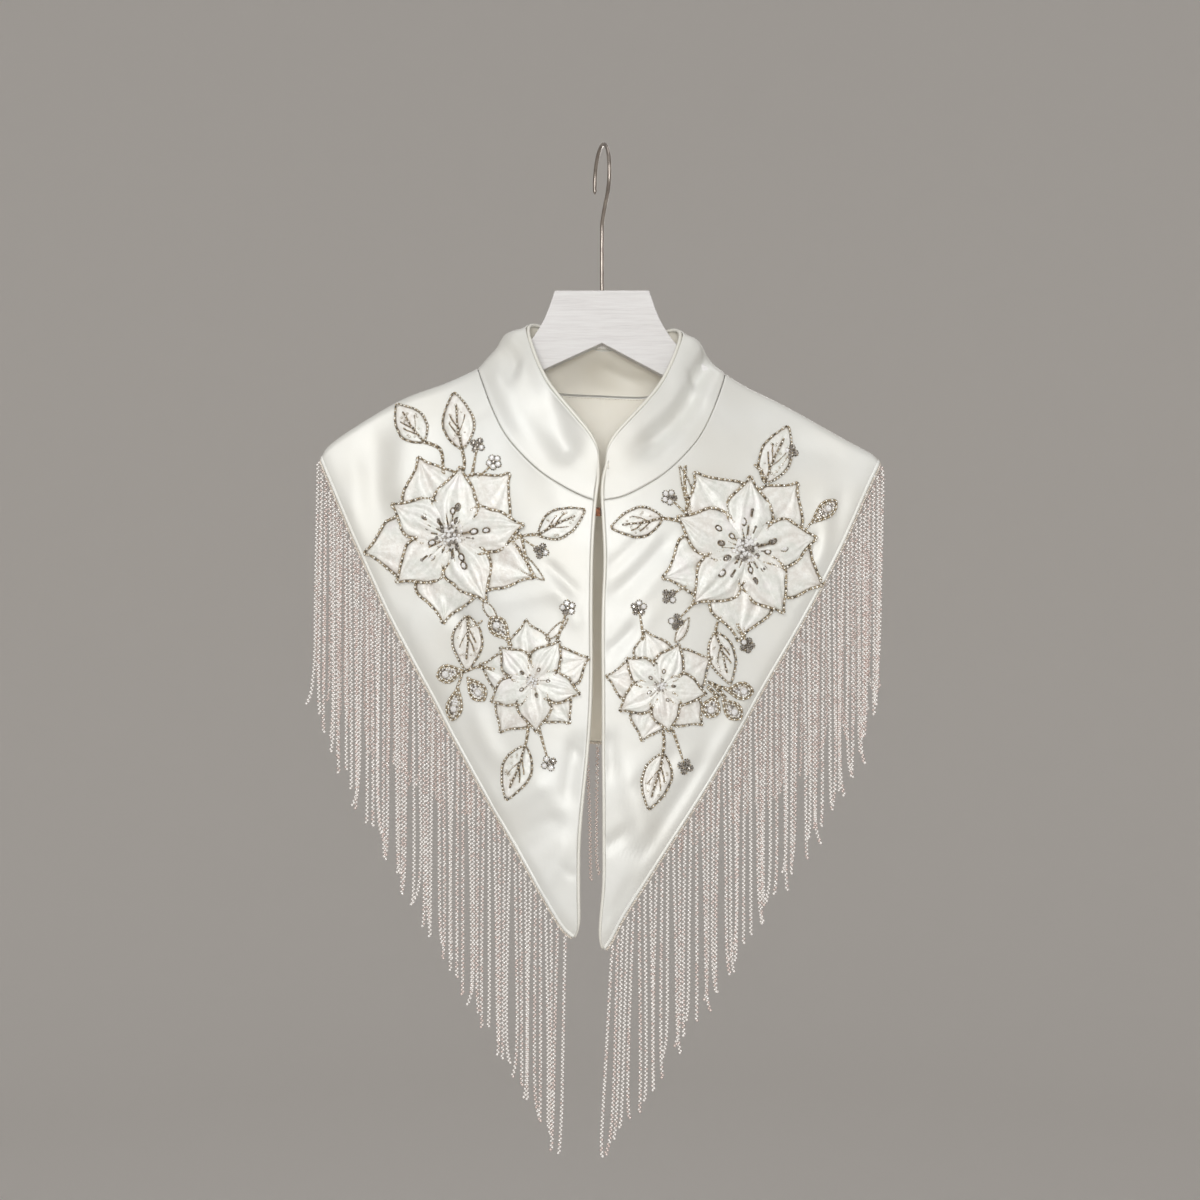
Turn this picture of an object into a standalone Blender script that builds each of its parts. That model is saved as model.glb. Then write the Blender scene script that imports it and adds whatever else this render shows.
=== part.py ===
"""A pointed satin capelet with a stand collar, flower applique and beaded fringe, on a flat wooden hanger.

Metres, +Z up. The front faces -Y, and +X is to the right of someone who looks at it. The origin is the inner
top of the hanger's hook, where a rod carries it. Sizes and tables are in millimetres: MM makes them metres.
"""

import math

import bmesh
import bpy
import numpy as np
from mathutils import Vector
from mathutils.bvhtree import BVHTree

MM = 0.001
GAP = 0.3  # between pieces that are sewn or pressed together

# Cloth walls: satin over interlining.
PANEL_WALL = 1.6
COLLAR_WALL = 1.8
PIPING_RADIUS = 1.4

# The cloth over the hanger's arms: a flat cap on top, then a rounded shoulder down to the panel.
CAP_HALF = 6.0
SHOULDER_ROUND = 5.5

# How far the neck ring pushes the panels out, and over what distance.
FRONT_BULGE = 37.0
FRONT_BULGE_REACH = 45.0
BACK_BULGE = 41.0
BACK_BULGE_REACH = 22.0
BULGE_HALF_WIDTH = 120.0
HEM_TAPER = 0.15
TAPER_FROM = -330.0
TAPER_LENGTH = 300.0

# Outer top of each shoulder, from the neck to the tip. Columns: x, z.
SHOULDER = {
    "left": (
        (-101.5, -182.4),
        (-126.9, -193.9),
        (-163.8, -207.8),
        (-202.3, -230.4),
        (-222.3, -244.6),
        (-230.6, -253.7),
    ),
    "right": (
        (100.7, -186.9),
        (120.5, -198.8),
        (149.1, -212.7),
        (199.1, -240.5),
        (220.5, -251.8),
        (227.8, -256.9),
    ),
}
SHOULDER_COS = 0.9  # of its slope
VIRTUAL_NECK = (0.0, -137.0)  # where the two shoulder lines would meet

# Front hem, from the bottom tip to the shoulder tip. Columns: x, z.
FRONT_HEM = {
    "left": (
        (-23.2, -638.8),
        (-29.6, -634.6),
        (-40.8, -618.0),
        (-68.9, -569.5),
        (-97.9, -520.5),
        (-131.8, -460.0),
        (-169.5, -390.2),
        (-200.0, -324.6),
        (-222.0, -273.7),
        (-230.6, -253.7),
    ),
    "right": (
        (2.4, -648.6),
        (8.2, -640.6),
        (17.6, -622.0),
        (45.7, -579.0),
        (90.8, -509.8),
        (128.0, -445.6),
        (163.0, -386.9),
        (192.9, -331.1),
        (217.1, -278.6),
        (227.8, -256.9),
    ),
}

# Cut edge of each front, inside its piping, from the neck to the bottom tip. Columns: x, z.
FRONT_EDGE = {
    "left": (
        (-6.7, -292.0),
        (-9.0, -327.0),
        (-9.8, -372.4),
        (-10.0, -444.0),
        (-13.4, -495.4),
        (-19.0, -556.2),
        (-19.8, -600.0),
        (-19.3, -626.6),
        (-20.3, -635.4),
        (-23.2, -638.8),
    ),
    "right": (
        (1.5, -292.0),
        (3.1, -322.0),
        (3.6, -342.3),
        (1.9, -385.0),
        (2.1, -449.3),
        (2.5, -536.0),
        (2.5, -592.7),
        (0.9, -612.0),
        (-0.7, -631.5),
        (-0.6, -643.0),
        (2.4, -648.6),
    ),
}

# Back hem, from the left shoulder tip to the centre. Columns: x, z. The right half mirrors it.
BACK_HEM_HALF = (
    (-230.6, -253.7),
    (-206.0, -303.0),
    (-172.0, -352.0),
    (-128.0, -402.0),
    (-78.0, -449.0),
    (-32.0, -483.0),
    (0.0, -492.0),
)

# Collar, from the left front edge round to the centre back. Columns: seam x, seam z, free edge x, y, z.
COLLAR_HALF = (
    (-6.7, -292.0, -3.1, -45.0, -263.0),
    (-16.0, -288.6, -2.6, -45.0, -249.5),
    (-31.0, -281.0, -8.5, -44.6, -237.2),
    (-49.0, -269.2, -20.6, -42.4, -222.7),
    (-65.4, -253.6, -32.0, -38.3, -209.0),
    (-78.5, -237.0, -41.8, -32.8, -195.5),
    (-88.5, -217.0, -50.0, -25.6, -178.8),
    (-96.0, -197.5, -56.5, -16.5, -161.0),
    (-101.5, -182.4, -60.0, -4.0, -145.5),
    (-93.0, -186.5, -54.5, 10.0, -141.5),
    (-70.0, -192.0, -41.0, 18.5, -145.5),
    (-36.0, -196.5, -22.0, 23.0, -154.5),
    (0.0, -198.0, 0.0, 24.0, -159.0),
)
SIDE_STATION = 8  # the row at the shoulder
RIGHT_SPREAD = 4.0  # how much wider the right half's free edge stands at the shoulder
RIGHT_DROP = 4.5  # and how much lower that side sits
FRONT_STATIONS = (0, 0.5, 1, 1.5, 2, 2.5, 3, 3.5, 4, 4.5, 5, 5.5, 6, 6.5, 7, 7.4, 7.7, 7.87)
BACK_STATIONS = (8.13, 8.3, 8.6, 9, 9.5, 10, 10.5, 11, 11.5)
CENTRE_STATION = 12
COLLAR_STATIONS = (*FRONT_STATIONS, 7.94, SIDE_STATION, 8.06, *BACK_STATIONS, CENTRE_STATION)
COLLAR_ROWS = (0.0, 0.07, 0.22, 0.38, 0.54, 0.75, 1.0)
TROUGH_DEPTH = 3.2  # the soft fold that runs round the middle of the collar
TROUGH_ROW = 0.52
TROUGH_WIDTH = 0.17
BOW_DEPTH = {"left": 7.0, "right": 3.0}  # how far the collar's sides swell above that fold
BOW_PLACE = 0.38  # 0 at the centre back and 1 at the front edges
BOW_SPREAD = 0.22
SIDE_STEER = 1.4  # stations either side of the shoulder seam in which the collar stands up from its seam
PANEL_ROWS = 20
BACK_ROWS = 13

# Fringe: strands hang from a narrow strip along the hem. Columns of the tables: share of the hem, length.
STRIP_WIDTH = 3.0
STRIP_PROUD = 0.3
STRAND_PITCH = 8.4
STRAND_WIDTH = 2.8
STRAND_SHARE = 0.62  # of the space that a strand has between its neighbours
STRAND_NECK = 9.0  # how far below the strip a strand reaches its own width
STRAND_BEND = 0.72  # of its length
FRINGE_LENGTH = {
    "front_left": ((0.0, 168.0), (0.08, 174.0), (0.3, 178.0), (0.55, 184.0), (0.9, 200.0), (1.0, 192.0)),
    "front_right": ((0.0, 168.0), (0.25, 163.0), (0.4, 170.0), (0.9, 192.0), (1.0, 178.0)),
    "back": ((0.0, 108.0), (0.3, 122.0), (0.6, 150.0), (1.0, 178.0)),
}
STRIP_START = 0.6  # how far the strip starts from the front's tip or from the centre back
STRIP_STOP = 3.0  # and how far it stops short of the shoulder's tip
CORNER_STRANDS = 4
CORNER_DRIFT = {"left": (0.5, 3.5, 6.0), "right": (3.0, 2.0, 1.0)}  # outwards, at a strand's three levels
TIP_STRANDS = 5
TIP_DRIFT = {"fringe_front_left": (0.0, -1.2, -2.5), "fringe_front_right": (0.0, -7.0, -10.0)}  # in x
NO_DRIFT = (0.0, 0.0, 0.0)
LENGTH_JITTER = 5.0
SWAY = 0.7

# Hanger: a flat wooden plate with two arms, and a bent wire hook.
PLATE_THICKNESS = 14.0
PLATE_ROUND = 3.0
PLATE_TOP = -118.6
PLATE_TOP_HALF = 38.5
PLATE_SIDE = ((43.0, -132.0), (47.2, -142.0), (52.3, -151.0), (59.0, -160.5), (67.0, -168.6))
PLATE_APEX = -161.4
ARM_END = 170.0
ARM_END_BOTTOM = {"left": -236.0, "right": -248.0}
ARM_CORNER = 7.0
WIRE_RADIUS = 1.6
LOOP_INNER_RADIUS = 25.0
LOOP_TURN = math.radians(13.0)  # the loop is twisted this much out of the YZ plane
LOOP_FROM = 30.0
LOOP_TO = 285.0
LOOP_STEP = 11.0
SHANK_STRAIGHT_TOP = -64.0
BORE_DEPTH = 16.0
BORE_CLEARANCE = 0.3

# Applique. Flowers have an inner and an outer round of five petals. Columns: x, z, reach, turn in degrees.
PETALS = 5
FLOWERS = {
    "flower_left_large": (-121.0, -321.0, 73.0, 8.0),
    "flower_left_small": (-54.5, -434.8, 45.5, -12.0),
    "flower_right_large": (114.5, -330.8, 73.0, 14.0),
    "flower_right_small": (46.0, -438.6, 44.0, -4.0),
}
INNER_REACH = 0.8  # of the outer petals'
PETAL_WIDTH = 0.56  # of its own length
FLOWER_SPOKES = 40
FLOWER_RINGS = (0.14, 0.6, 1.0)
PETAL_RISE = 1.5
CENTRE_RISE = 2.4
APPLIQUE_WALL = 0.9
APPLIQUE_LIFT = 0.45
EDGE_MARGIN = 1.5  # between the applique and the hem

# Leaves and stones. Columns: base x, base z, tip x, tip z, width.
LEAVES = {
    "leaf_left_upper_outer": (-144.0, -243.0, -164.0, -216.0, 21.0),
    "leaf_left_upper_inner": (-112.0, -249.0, -119.0, -207.5, 21.0),
    "leaf_left_front": (-49.5, -319.0, -14.8, -301.0, 19.0),
    "leaf_left_middle": (-107.0, -386.0, -107.5, -426.5, 21.0),
    "leaf_left_lower": (-61.0, -488.5, -75.0, -527.0, 19.0),
    "leaf_right_upper": (131.0, -274.5, 149.0, -233.5, 21.0),
    "leaf_right_front": (47.0, -307.5, 8.5, -313.5, 20.0),
    "leaf_right_middle": (90.0, -398.5, 102.0, -436.0, 18.0),
    "leaf_right_lower": (48.0, -494.5, 37.5, -534.0, 19.0),
}
STONES = {
    "stone_left_1": (-74.0, -402.5, -87.5, -386.0, 12.0),
    "stone_left_2": (-111.0, -427.0, -130.0, -431.5, 12.0),
    "stone_left_3": (-107.0, -433.0, -95.0, -449.5, 11.5),
    "stone_left_4": (-114.8, -440.5, -119.5, -465.0, 10.5),
    "stone_right_1": (168.5, -309.0, 188.0, -292.0, 10.5),
    "stone_right_2": (99.0, -442.5, 119.0, -444.0, 11.5),
    "stone_right_3": (91.0, -447.0, 84.5, -462.0, 12.5),
    "stone_right_4": (96.0, -450.0, 109.5, -464.0, 11.0),
}
LEAF_ROWS = (0.0, 0.25, 0.55, 0.82, 1.0)
LEAF_RISE = 0.9
STONE_RISE = 2.2
LENS_END_WIDTH = 1.2

# Hook and eye inside the neck, which hold the two fronts together. Heights are about the seam.
CLASP_HEIGHT = 7.0
CLASP_THICKNESS = 1.2
CLASP_DROP = 9.0
CLASP_JOINT = -1.0
CLASP_REACH = 11.0


def clear_scene():
    for old in list(bpy.data.objects):
        bpy.data.objects.remove(old, do_unlink=True)


def new_collection(name):
    made = bpy.data.collections.new(name)
    bpy.context.scene.collection.children.link(made)
    return made


def new_material(name, colour, roughness, metallic=0.0):
    made = bpy.data.materials.new(name)
    made.use_nodes = True
    shader = made.node_tree.nodes["Principled BSDF"]
    shader.inputs["Base Color"].default_value = (*colour, 1.0)
    shader.inputs["Roughness"].default_value = roughness
    shader.inputs["Metallic"].default_value = metallic
    made.diffuse_color = (*colour, 1.0)
    return made


# ---- curves and surfaces, in millimetres


def through(rows, places):
    """Points of a smooth curve through the rows, at places counted in rows."""
    rows = np.array(rows, float)
    padded = np.vstack([2 * rows[0] - rows[1], rows, 2 * rows[-1] - rows[-2]])
    points = []
    for place in places:
        start = min(int(place), len(rows) - 2)
        t = place - start
        before, first, second, after = padded[start : start + 4]
        bend = 2 * before - 5 * first + 4 * second - after
        twist = 3 * (first - second) + after - before
        points.append(first + 0.5 * t * (second - before + t * (bend + t * twist)))
    return np.array(points)


def along(rows, shares, per_row=12):
    """Points of the same curve at shares of its length."""
    dense = through(rows, np.linspace(0, len(rows) - 1, per_row * (len(rows) - 1) + 1))
    return on_line(dense, shares)


def on_line(points, shares):
    walked = length_along(points)
    return np.array([np.interp(np.array(shares) * walked[-1], walked, column) for column in points.T]).T


def length_along(points):
    steps = np.linalg.norm(np.diff(points, axis=0), axis=1)
    return np.concatenate([[0.0], np.cumsum(steps)])


def patch(top, bottom, start, end, across, down):
    """The Coons patch of four edge curves. It is indexed by row, from top to bottom, and then by column."""
    across = np.array(across)[None, :, None]
    down = np.array(down)[:, None, None]
    ruled_down = (1 - down) * top[None] + down * bottom[None]
    ruled_across = (1 - across) * start[:, None] + across * end[:, None]
    corners = (1 - across) * ((1 - down) * top[0] + down * bottom[0])
    corners = corners + across * ((1 - down) * top[-1] + down * bottom[-1])
    return ruled_down + ruled_across - corners


def shoulder_line():
    left = along(SHOULDER["left"], np.linspace(1, 0, 40))
    right = along(SHOULDER["right"], np.linspace(0, 1, 40))
    return np.vstack([left, [VIRTUAL_NECK], right])


def below_shoulder(x, z):
    """Distance under the shoulder line, square to it."""
    line = shoulder_line()
    return np.maximum(np.interp(x, line[:, 0], line[:, 1]) - z, 0.0) * SHOULDER_COS


def panel_depth(x, z, bulge, reach):
    under = below_shoulder(x, z)
    rounding = 1 - np.minimum(under / SHOULDER_ROUND, 1.0)
    rounded = SHOULDER_ROUND * np.sqrt(1 - rounding**2)
    sideways = 1 / (1 + (np.abs(x) / BULGE_HALF_WIDTH) ** 3)
    low = np.clip((TAPER_FROM - z) / TAPER_LENGTH, 0, 1)
    pushed = bulge * (1 - np.exp(-under / reach)) * sideways * (1 - HEM_TAPER * low)
    return CAP_HALF + rounded + pushed


def front_y(x, z):
    return -panel_depth(x, z, FRONT_BULGE, FRONT_BULGE_REACH)


def back_y(x, z):
    return panel_depth(x, z, BACK_BULGE, BACK_BULGE_REACH)


def on_front(points):
    return np.stack([points[..., 0], front_y(points[..., 0], points[..., 1]), points[..., 1]], axis=-1)


def on_back(points):
    return np.stack([points[..., 0], back_y(points[..., 0], points[..., 1]), points[..., 1]], axis=-1)


def unit(vectors):
    return vectors / np.linalg.norm(vectors, axis=-1, keepdims=True)


# ---- the collar's table, and the stations that the collar and the panels share


def collar_rows(side):
    """Rows of one half: seam x, seam z, free edge x, y, z. The right half is a wider, lower mirror image."""
    rows = np.array(COLLAR_HALF)
    if side == "left":
        return rows
    fade = max(SIDE_STATION, CENTRE_STATION - SIDE_STATION)
    nearness = 1 - np.abs(np.arange(len(rows)) - SIDE_STATION) / fade
    rows[:, 0] *= -1
    rows[0, 0] = FRONT_EDGE["right"][0][0]
    rows[SIDE_STATION, 0] = SHOULDER["right"][0][0]
    rows[:, 1] -= RIGHT_DROP * nearness
    rows[0, 1] = FRONT_EDGE["right"][0][1]
    rows[:, 2] = -rows[:, 2] + RIGHT_SPREAD * nearness
    rows[0, 2] += 0.5
    rows[:, 4] -= RIGHT_DROP * nearness
    rows[-1] = COLLAR_HALF[-1]
    return rows


def front_seam(side):
    """Neck seam of one front, from its edge to the shoulder, at the shared stations."""
    rows = collar_rows(side)[: SIDE_STATION + 1, :2]
    return through(rows, [*FRONT_STATIONS, SIDE_STATION])


def back_seam_half(side):
    """Neck seam of half of the back, from the shoulder to the centre, at the shared stations."""
    rows = collar_rows(side)[SIDE_STATION:, :2]
    stations = [SIDE_STATION, *BACK_STATIONS, CENTRE_STATION]
    return through(rows, [place - SIDE_STATION for place in stations])


def free_edge(side):
    """The collar's free edge beside each column of the collar, from the front edge to the centre back."""
    return through(collar_rows(side)[:, 2:], COLLAR_STATIONS)


# ---- the cloth's outer surfaces, as grids of points


def front_grid(side):
    """Rows run from the neck to the hem, and columns from the front edge to the seam on the shoulder."""
    neck = front_seam(side)
    walked = length_along(neck)
    across = walked / walked[-1]
    down = np.linspace(0, 1, PANEL_ROWS)
    hem = along(FRONT_HEM[side], across)
    edge = along(FRONT_EDGE[side], down)
    shoulder = along(SHOULDER[side], down)
    flat = patch(neck, hem, edge, shoulder, across, down)
    hold_near_ridge(flat)
    grid = on_front(flat)
    grid[:, -1, 1] = -CAP_HALF
    seam = grid[:, -1:].copy()
    seam[..., 1] = -GAP / 2
    return np.concatenate([grid, seam], axis=1)


def hold_near_ridge(flat):
    """Keeps the two columns next to the shoulder as near to it in every row as they are at the neck."""
    ridge = flat[:, -1]
    towards = unit(flat[:, -4] - ridge)
    for column in (-3, -2):
        flat[:, column] = ridge + towards * np.linalg.norm(flat[0, column] - flat[0, -1])


def back_grid():
    """Rows run from the neck to the hem, and columns from the left shoulder's seam to the right one's."""
    left = back_seam_half("left")
    right = back_seam_half("right")[::-1]
    neck = np.vstack([left, right[1:]])
    walked = length_along(neck)
    across = walked / walked[-1]
    down = np.linspace(0, 1, BACK_ROWS)
    mirrored = [(-x, z) for x, z in reversed(BACK_HEM_HALF[1:-1])]
    hem = along([*BACK_HEM_HALF, *mirrored, SHOULDER["right"][-1]], across)
    flat = patch(neck, hem, along(SHOULDER["left"], down), along(SHOULDER["right"], down), across, down)
    hold_near_ridge(flat)
    hold_near_ridge(flat[:, ::-1])
    grid = on_back(flat)
    grid[:, (0, -1), 1] = CAP_HALF
    seams = grid[:, (0, -1)].copy()
    seams[..., 1] = GAP / 2
    return np.concatenate([seams[:, :1], grid, seams[:, 1:]], axis=1)


def collar_half_columns(side, front, back):
    """Seam point, direction up from the seam, and free edge of each column, from the front to the centre."""
    middle = back.shape[1] // 2
    half = back[:, 1 : middle + 1] if side == "left" else back[:, middle:-1][:, ::-1]
    seam = np.vstack([front[0, :-1], front[0, -2:-1] * (1, 0, 1), half[0]])
    slope = np.vstack([front[0, :-1] - front[1, :-1], front[0, -1:] - front[1, -1:], half[0] - half[1]])
    edge = free_edge(side)
    band = unit(edge - seam)
    steer = np.exp(-(((np.array(COLLAR_STATIONS) - SIDE_STATION) / SIDE_STEER) ** 2))[:, None]
    upward = unit(unit(slope) * (1 - steer) + band * steer)
    return seam, upward, edge - band * (2 * PIPING_RADIUS + GAP)


def collar_grid(fronts, back):
    """Rows run from the neck seam to the free edge, and columns from the left front edge to the right one."""
    left = collar_half_columns("left", fronts["left"], back)
    right = collar_half_columns("right", fronts["right"], back)
    seam, upward, edge = (np.vstack([a, b[::-1][1:]]) for a, b in zip(left, right))
    start = seam + upward * GAP
    reach = np.linalg.norm(edge - start, axis=1, keepdims=True)
    rows = []
    for s in COLLAR_ROWS:
        from_start = (2 * s**3 - 3 * s**2 + 1) * start + (s**3 - 2 * s**2 + s) * upward * reach
        to_edge = (3 * s**2 - 2 * s**3) * edge + (s**3 - s**2) * (edge - start)
        rows.append(from_start + to_edge)
    grid = np.array(rows)
    return grid + (trough(grid) - bow(grid)) * inner_side(grid)


def trough(grid):
    """Depth of the collar's fold at each point: none at the seam, the edges and the centre back."""
    columns = np.linspace(0, 1, grid.shape[1])[None, :, None]
    rows = np.array(COLLAR_ROWS)[:, None, None]
    strength = np.sin(np.pi * np.clip(np.abs(columns - 0.5) * 2, 0, 1)) ** 1.5
    return TROUGH_DEPTH * strength * np.exp(-(((rows - TROUGH_ROW) / TROUGH_WIDTH) ** 2))


def bow(grid):
    """Height of the swelling at the collar's two sides, at each point."""
    columns = np.linspace(-1, 1, grid.shape[1])[None, :, None]
    rows = np.array(COLLAR_ROWS)[:, None, None]
    height = np.where(columns < 0, BOW_DEPTH["left"], BOW_DEPTH["right"])
    around = np.exp(-(((np.abs(columns) - BOW_PLACE) / BOW_SPREAD) ** 2))
    return height * around * np.sin(np.pi * rows**1.3) ** 2


def grid_normals(grid):
    """Unit normals of a grid, on whichever side its rows and columns give."""
    along_columns = np.gradient(grid, axis=1)
    along_rows = np.gradient(grid, axis=0)
    return unit(np.cross(along_columns, along_rows))


# ---- meshes


def add_object(name, mesh, collection, material):
    made = bpy.data.objects.new(name, mesh)
    collection.objects.link(made)
    mesh.materials.append(material)
    return made


def shade_smooth(mesh, angle=40):
    mesh.shade_smooth()
    mesh.set_sharp_from_angle(angle=math.radians(angle))


def grid_mesh(name, grid, flip=False, closed=False, middle=None):
    """An open sheet over a grid of points in millimetres. A middle point closes the first row with a fan."""
    rows, columns = grid.shape[:2]
    sheet = bmesh.new()
    verts = [[sheet.verts.new(Vector(point) * MM) for point in row] for row in grid]
    for upper, lower in zip(verts[:-1], verts[1:]):
        for j in range(columns if closed else columns - 1):
            k = (j + 1) % columns
            sheet.faces.new((upper[j], upper[k], lower[k], lower[j]))
    if middle is not None:
        centre = sheet.verts.new(Vector(middle) * MM)
        for j in range(columns):
            sheet.faces.new((centre, verts[0][(j + 1) % columns], verts[0][j]))
    if flip:
        bmesh.ops.reverse_faces(sheet, faces=sheet.faces)
    mesh = bpy.data.meshes.new(name)
    sheet.to_mesh(mesh)
    sheet.free()
    shade_smooth(mesh)
    return mesh


def thicken(target, wall):
    solidify = target.modifiers.new("Wall", "SOLIDIFY")
    solidify.thickness = wall * MM
    solidify.offset = -1
    solidify.use_even_offset = True
    return target


def add_tube(name, points, radius, collection, material):
    """A round wire along the points, in millimetres."""
    curve = bpy.data.curves.new(name, "CURVE")
    curve.dimensions = "3D"
    curve.bevel_depth = radius * MM
    curve.bevel_resolution = 1
    curve.use_fill_caps = True
    spline = curve.splines.new("POLY")
    spline.points.add(len(points) - 1)
    for target, point in zip(spline.points, points):
        target.co = (*(np.array(point) * MM), 1)
    made = bpy.data.objects.new(name, curve)
    curve.materials.append(material)
    collection.objects.link(made)
    return made


# ---- hanger


def plate_outline():
    """The plate's outline in x and z: top, right side and arm, underside, left arm and side."""
    right_side = [(PLATE_TOP_HALF, PLATE_TOP), *through(PLATE_SIDE, np.arange(0, 4.01, 0.5))]
    left_side = [(-x, z) for x, z in right_side]
    underside = [*arm_outline("right"), (0.0, PLATE_APEX), *arm_outline("left")[::-1]]
    return [*right_side, *underside, *left_side[::-1]]


def arm_top(side, x):
    """The arm's top lies just under the cloth's cap."""
    line = shoulder_line()
    drop = (PANEL_WALL + 2 * GAP) / SHOULDER_COS
    sign = 1 if side == "right" else -1
    neck_x, neck_z = SHOULDER[side][0]
    ridge = np.interp(sign * x, line[:, 0], line[:, 1])
    if x < abs(neck_x):
        slope = (SHOULDER[side][1][1] - neck_z) / (abs(SHOULDER[side][1][0]) - abs(neck_x))
        ridge = neck_z + slope * (x - abs(neck_x))
    return ridge - drop


def arm_outline(side):
    """Top of one arm outwards, its rounded end, and back along the underside to the apex."""
    sign = 1 if side == "right" else -1
    top = [(x, arm_top(side, x)) for x in (74.0, 87.0, 100.0, 113.0, 126.0, 139.0, 151.0, 162.0)]
    end_top = arm_top(side, ARM_END)
    end_bottom = ARM_END_BOTTOM[side]
    centre_x = ARM_END - ARM_CORNER
    end = []
    for degrees in (60, 35, 10):
        angle = math.radians(degrees)
        end.append((centre_x + ARM_CORNER * math.cos(angle), end_top - ARM_CORNER * (1 - math.sin(angle))))
    for degrees in (-10, -35, -60, -90):
        angle = math.radians(degrees)
        end.append((centre_x + ARM_CORNER * math.cos(angle), end_bottom + ARM_CORNER * (1 + math.sin(angle))))
    return [(sign * x, z) for x, z in top + end]


def add_plate(parts, cutters, material):
    outline = plate_outline()
    curve = bpy.data.curves.new("hanger_outline", "CURVE")
    curve.dimensions = "2D"
    curve.fill_mode = "BOTH"
    curve.extrude = PLATE_THICKNESS / 2 * MM
    spline = curve.splines.new("POLY")
    spline.points.add(len(outline) - 1)
    for target, (x, z) in zip(spline.points, outline):
        target.co = (x * MM, z * MM, 0, 1)
    spline.use_cyclic_u = True
    flat = bpy.data.objects.new("hanger_outline", curve)
    parts.objects.link(flat)
    graph = bpy.context.evaluated_depsgraph_get()
    mesh = bpy.data.meshes.new_from_object(flat.evaluated_get(graph))
    bpy.data.objects.remove(flat, do_unlink=True)
    solid = bmesh.new()
    solid.from_mesh(mesh)
    bmesh.ops.remove_doubles(solid, verts=solid.verts, dist=1e-6)
    bmesh.ops.recalc_face_normals(solid, faces=solid.faces)
    solid.to_mesh(mesh)
    solid.free()
    shade_smooth(mesh)
    mesh.materials.clear()
    plate = add_object("hanger_body", mesh, parts, material)
    plate.rotation_euler.x = math.radians(90)
    bevel = plate.modifiers.new("Round edges", "BEVEL")
    bevel.width = PLATE_ROUND * MM
    bevel.segments = 2
    bevel.limit_method = "ANGLE"
    bevel.angle_limit = math.radians(50)
    cut = plate.modifiers.new("Bore for the hook", "BOOLEAN")
    cut.object = add_bore(cutters)
    return plate


def add_bore(cutters):
    bpy.ops.mesh.primitive_cylinder_add(
        vertices=16,
        radius=(WIRE_RADIUS + BORE_CLEARANCE) * MM,
        depth=2 * BORE_DEPTH * MM,
        location=(0, 0, PLATE_TOP * MM),
    )
    bore = bpy.context.object
    bore.name = "bore_cutter"
    for collection in list(bore.users_collection):
        collection.objects.unlink(bore)
    cutters.objects.link(bore)
    bore.hide_render = True
    bore.display_type = "WIRE"
    return bore


def hook_route():
    """From the bottom of the bore up the shank, forwards into the loop, over the top and down behind."""
    radius = LOOP_INNER_RADIUS + WIRE_RADIUS
    route = [(0.0, z) for z in (PLATE_TOP - BORE_DEPTH + GAP, -100.0, -80.0, SHANK_STRAIGHT_TOP)]
    loop = []
    for degrees in np.arange(LOOP_FROM, LOOP_TO + 0.1, LOOP_STEP):
        angle = math.radians(degrees)
        loop.append((radius * math.sin(angle), -LOOP_INNER_RADIUS - radius * math.cos(angle)))
    bend = through([(0.0, -80.0), route[-1], loop[0], loop[1]], (1.25, 1.5, 1.75))
    points = []
    for forward, z in [*route, *bend, *loop]:
        points.append((forward * math.sin(LOOP_TURN), -forward * math.cos(LOOP_TURN), z))
    return points


# ---- piping


def piping_route(fronts, collar):
    """Along the left front edge from its tip, round the collar's free edge, and down the right front edge."""
    left, right = fronts["left"], fronts["right"]
    behind_left, behind_right, behind_collar = inner_side(left), inner_side(right), inner_side(collar)
    behind_collar[-1, 0] = behind_collar[-2, 1]
    behind_collar[-1, -1] = behind_collar[-2, -2]
    left_out = away_from(left[:, 0], left[:, 1], behind_left[:, 0])
    right_out = away_from(right[:, 0], right[:, 1], behind_right[:, 0])
    collar_left = away_from(collar[:, 0], collar[:, 1], behind_collar[:, 0])
    collar_right = away_from(collar[:, -1], collar[:, -2], behind_collar[:, -1])
    over = away_from(collar[-1], collar[-2], behind_collar[-1])
    over[0] = unit(over[0] + collar_left[-1])
    over[-1] = unit(over[-1] + collar_right[-1])
    rim = [left[::-1, 0], collar[1:-1, 0], collar[-1], collar[1:-1, -1][::-1], right[:, 0]]
    out = [left_out[::-1], collar_left[1:-1], over, collar_right[1:-1][::-1], right_out]
    behind = [
        behind_left[::-1, 0],
        behind_collar[1:-1, 0],
        behind_collar[-1],
        behind_collar[1:-1, -1][::-1],
        behind_right[:, 0],
    ]
    rim, out, behind = np.vstack(rim), np.vstack(out), np.vstack(behind)
    route = rim + out * (PIPING_RADIUS + GAP * 1.3) + behind * PANEL_WALL / 2
    keep = [0]
    for index in range(1, len(route)):
        if np.linalg.norm(route[index] - route[keep[-1]]) > 2 * PIPING_RADIUS:
            keep.append(index)
    return route[keep]


def away_from(edge, inside, normals):
    """Unit vectors that lead out of a sheet at its edge, in its surface and square to the edge."""
    square = np.cross(np.gradient(edge, axis=0), normals)
    return unit(square * np.sign(np.sum(square * (edge - inside))))


def inner_side(grid):
    """Unit vectors towards the inside of the cloth, at each point of a grid."""
    normals = grid_normals(grid)
    middle = np.array([0.0, 0.0, grid[..., 2].mean()])
    side = np.sum(normals * (grid - middle), axis=-1).mean()
    return -normals if side > 0 else normals


# ---- fringe


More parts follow.
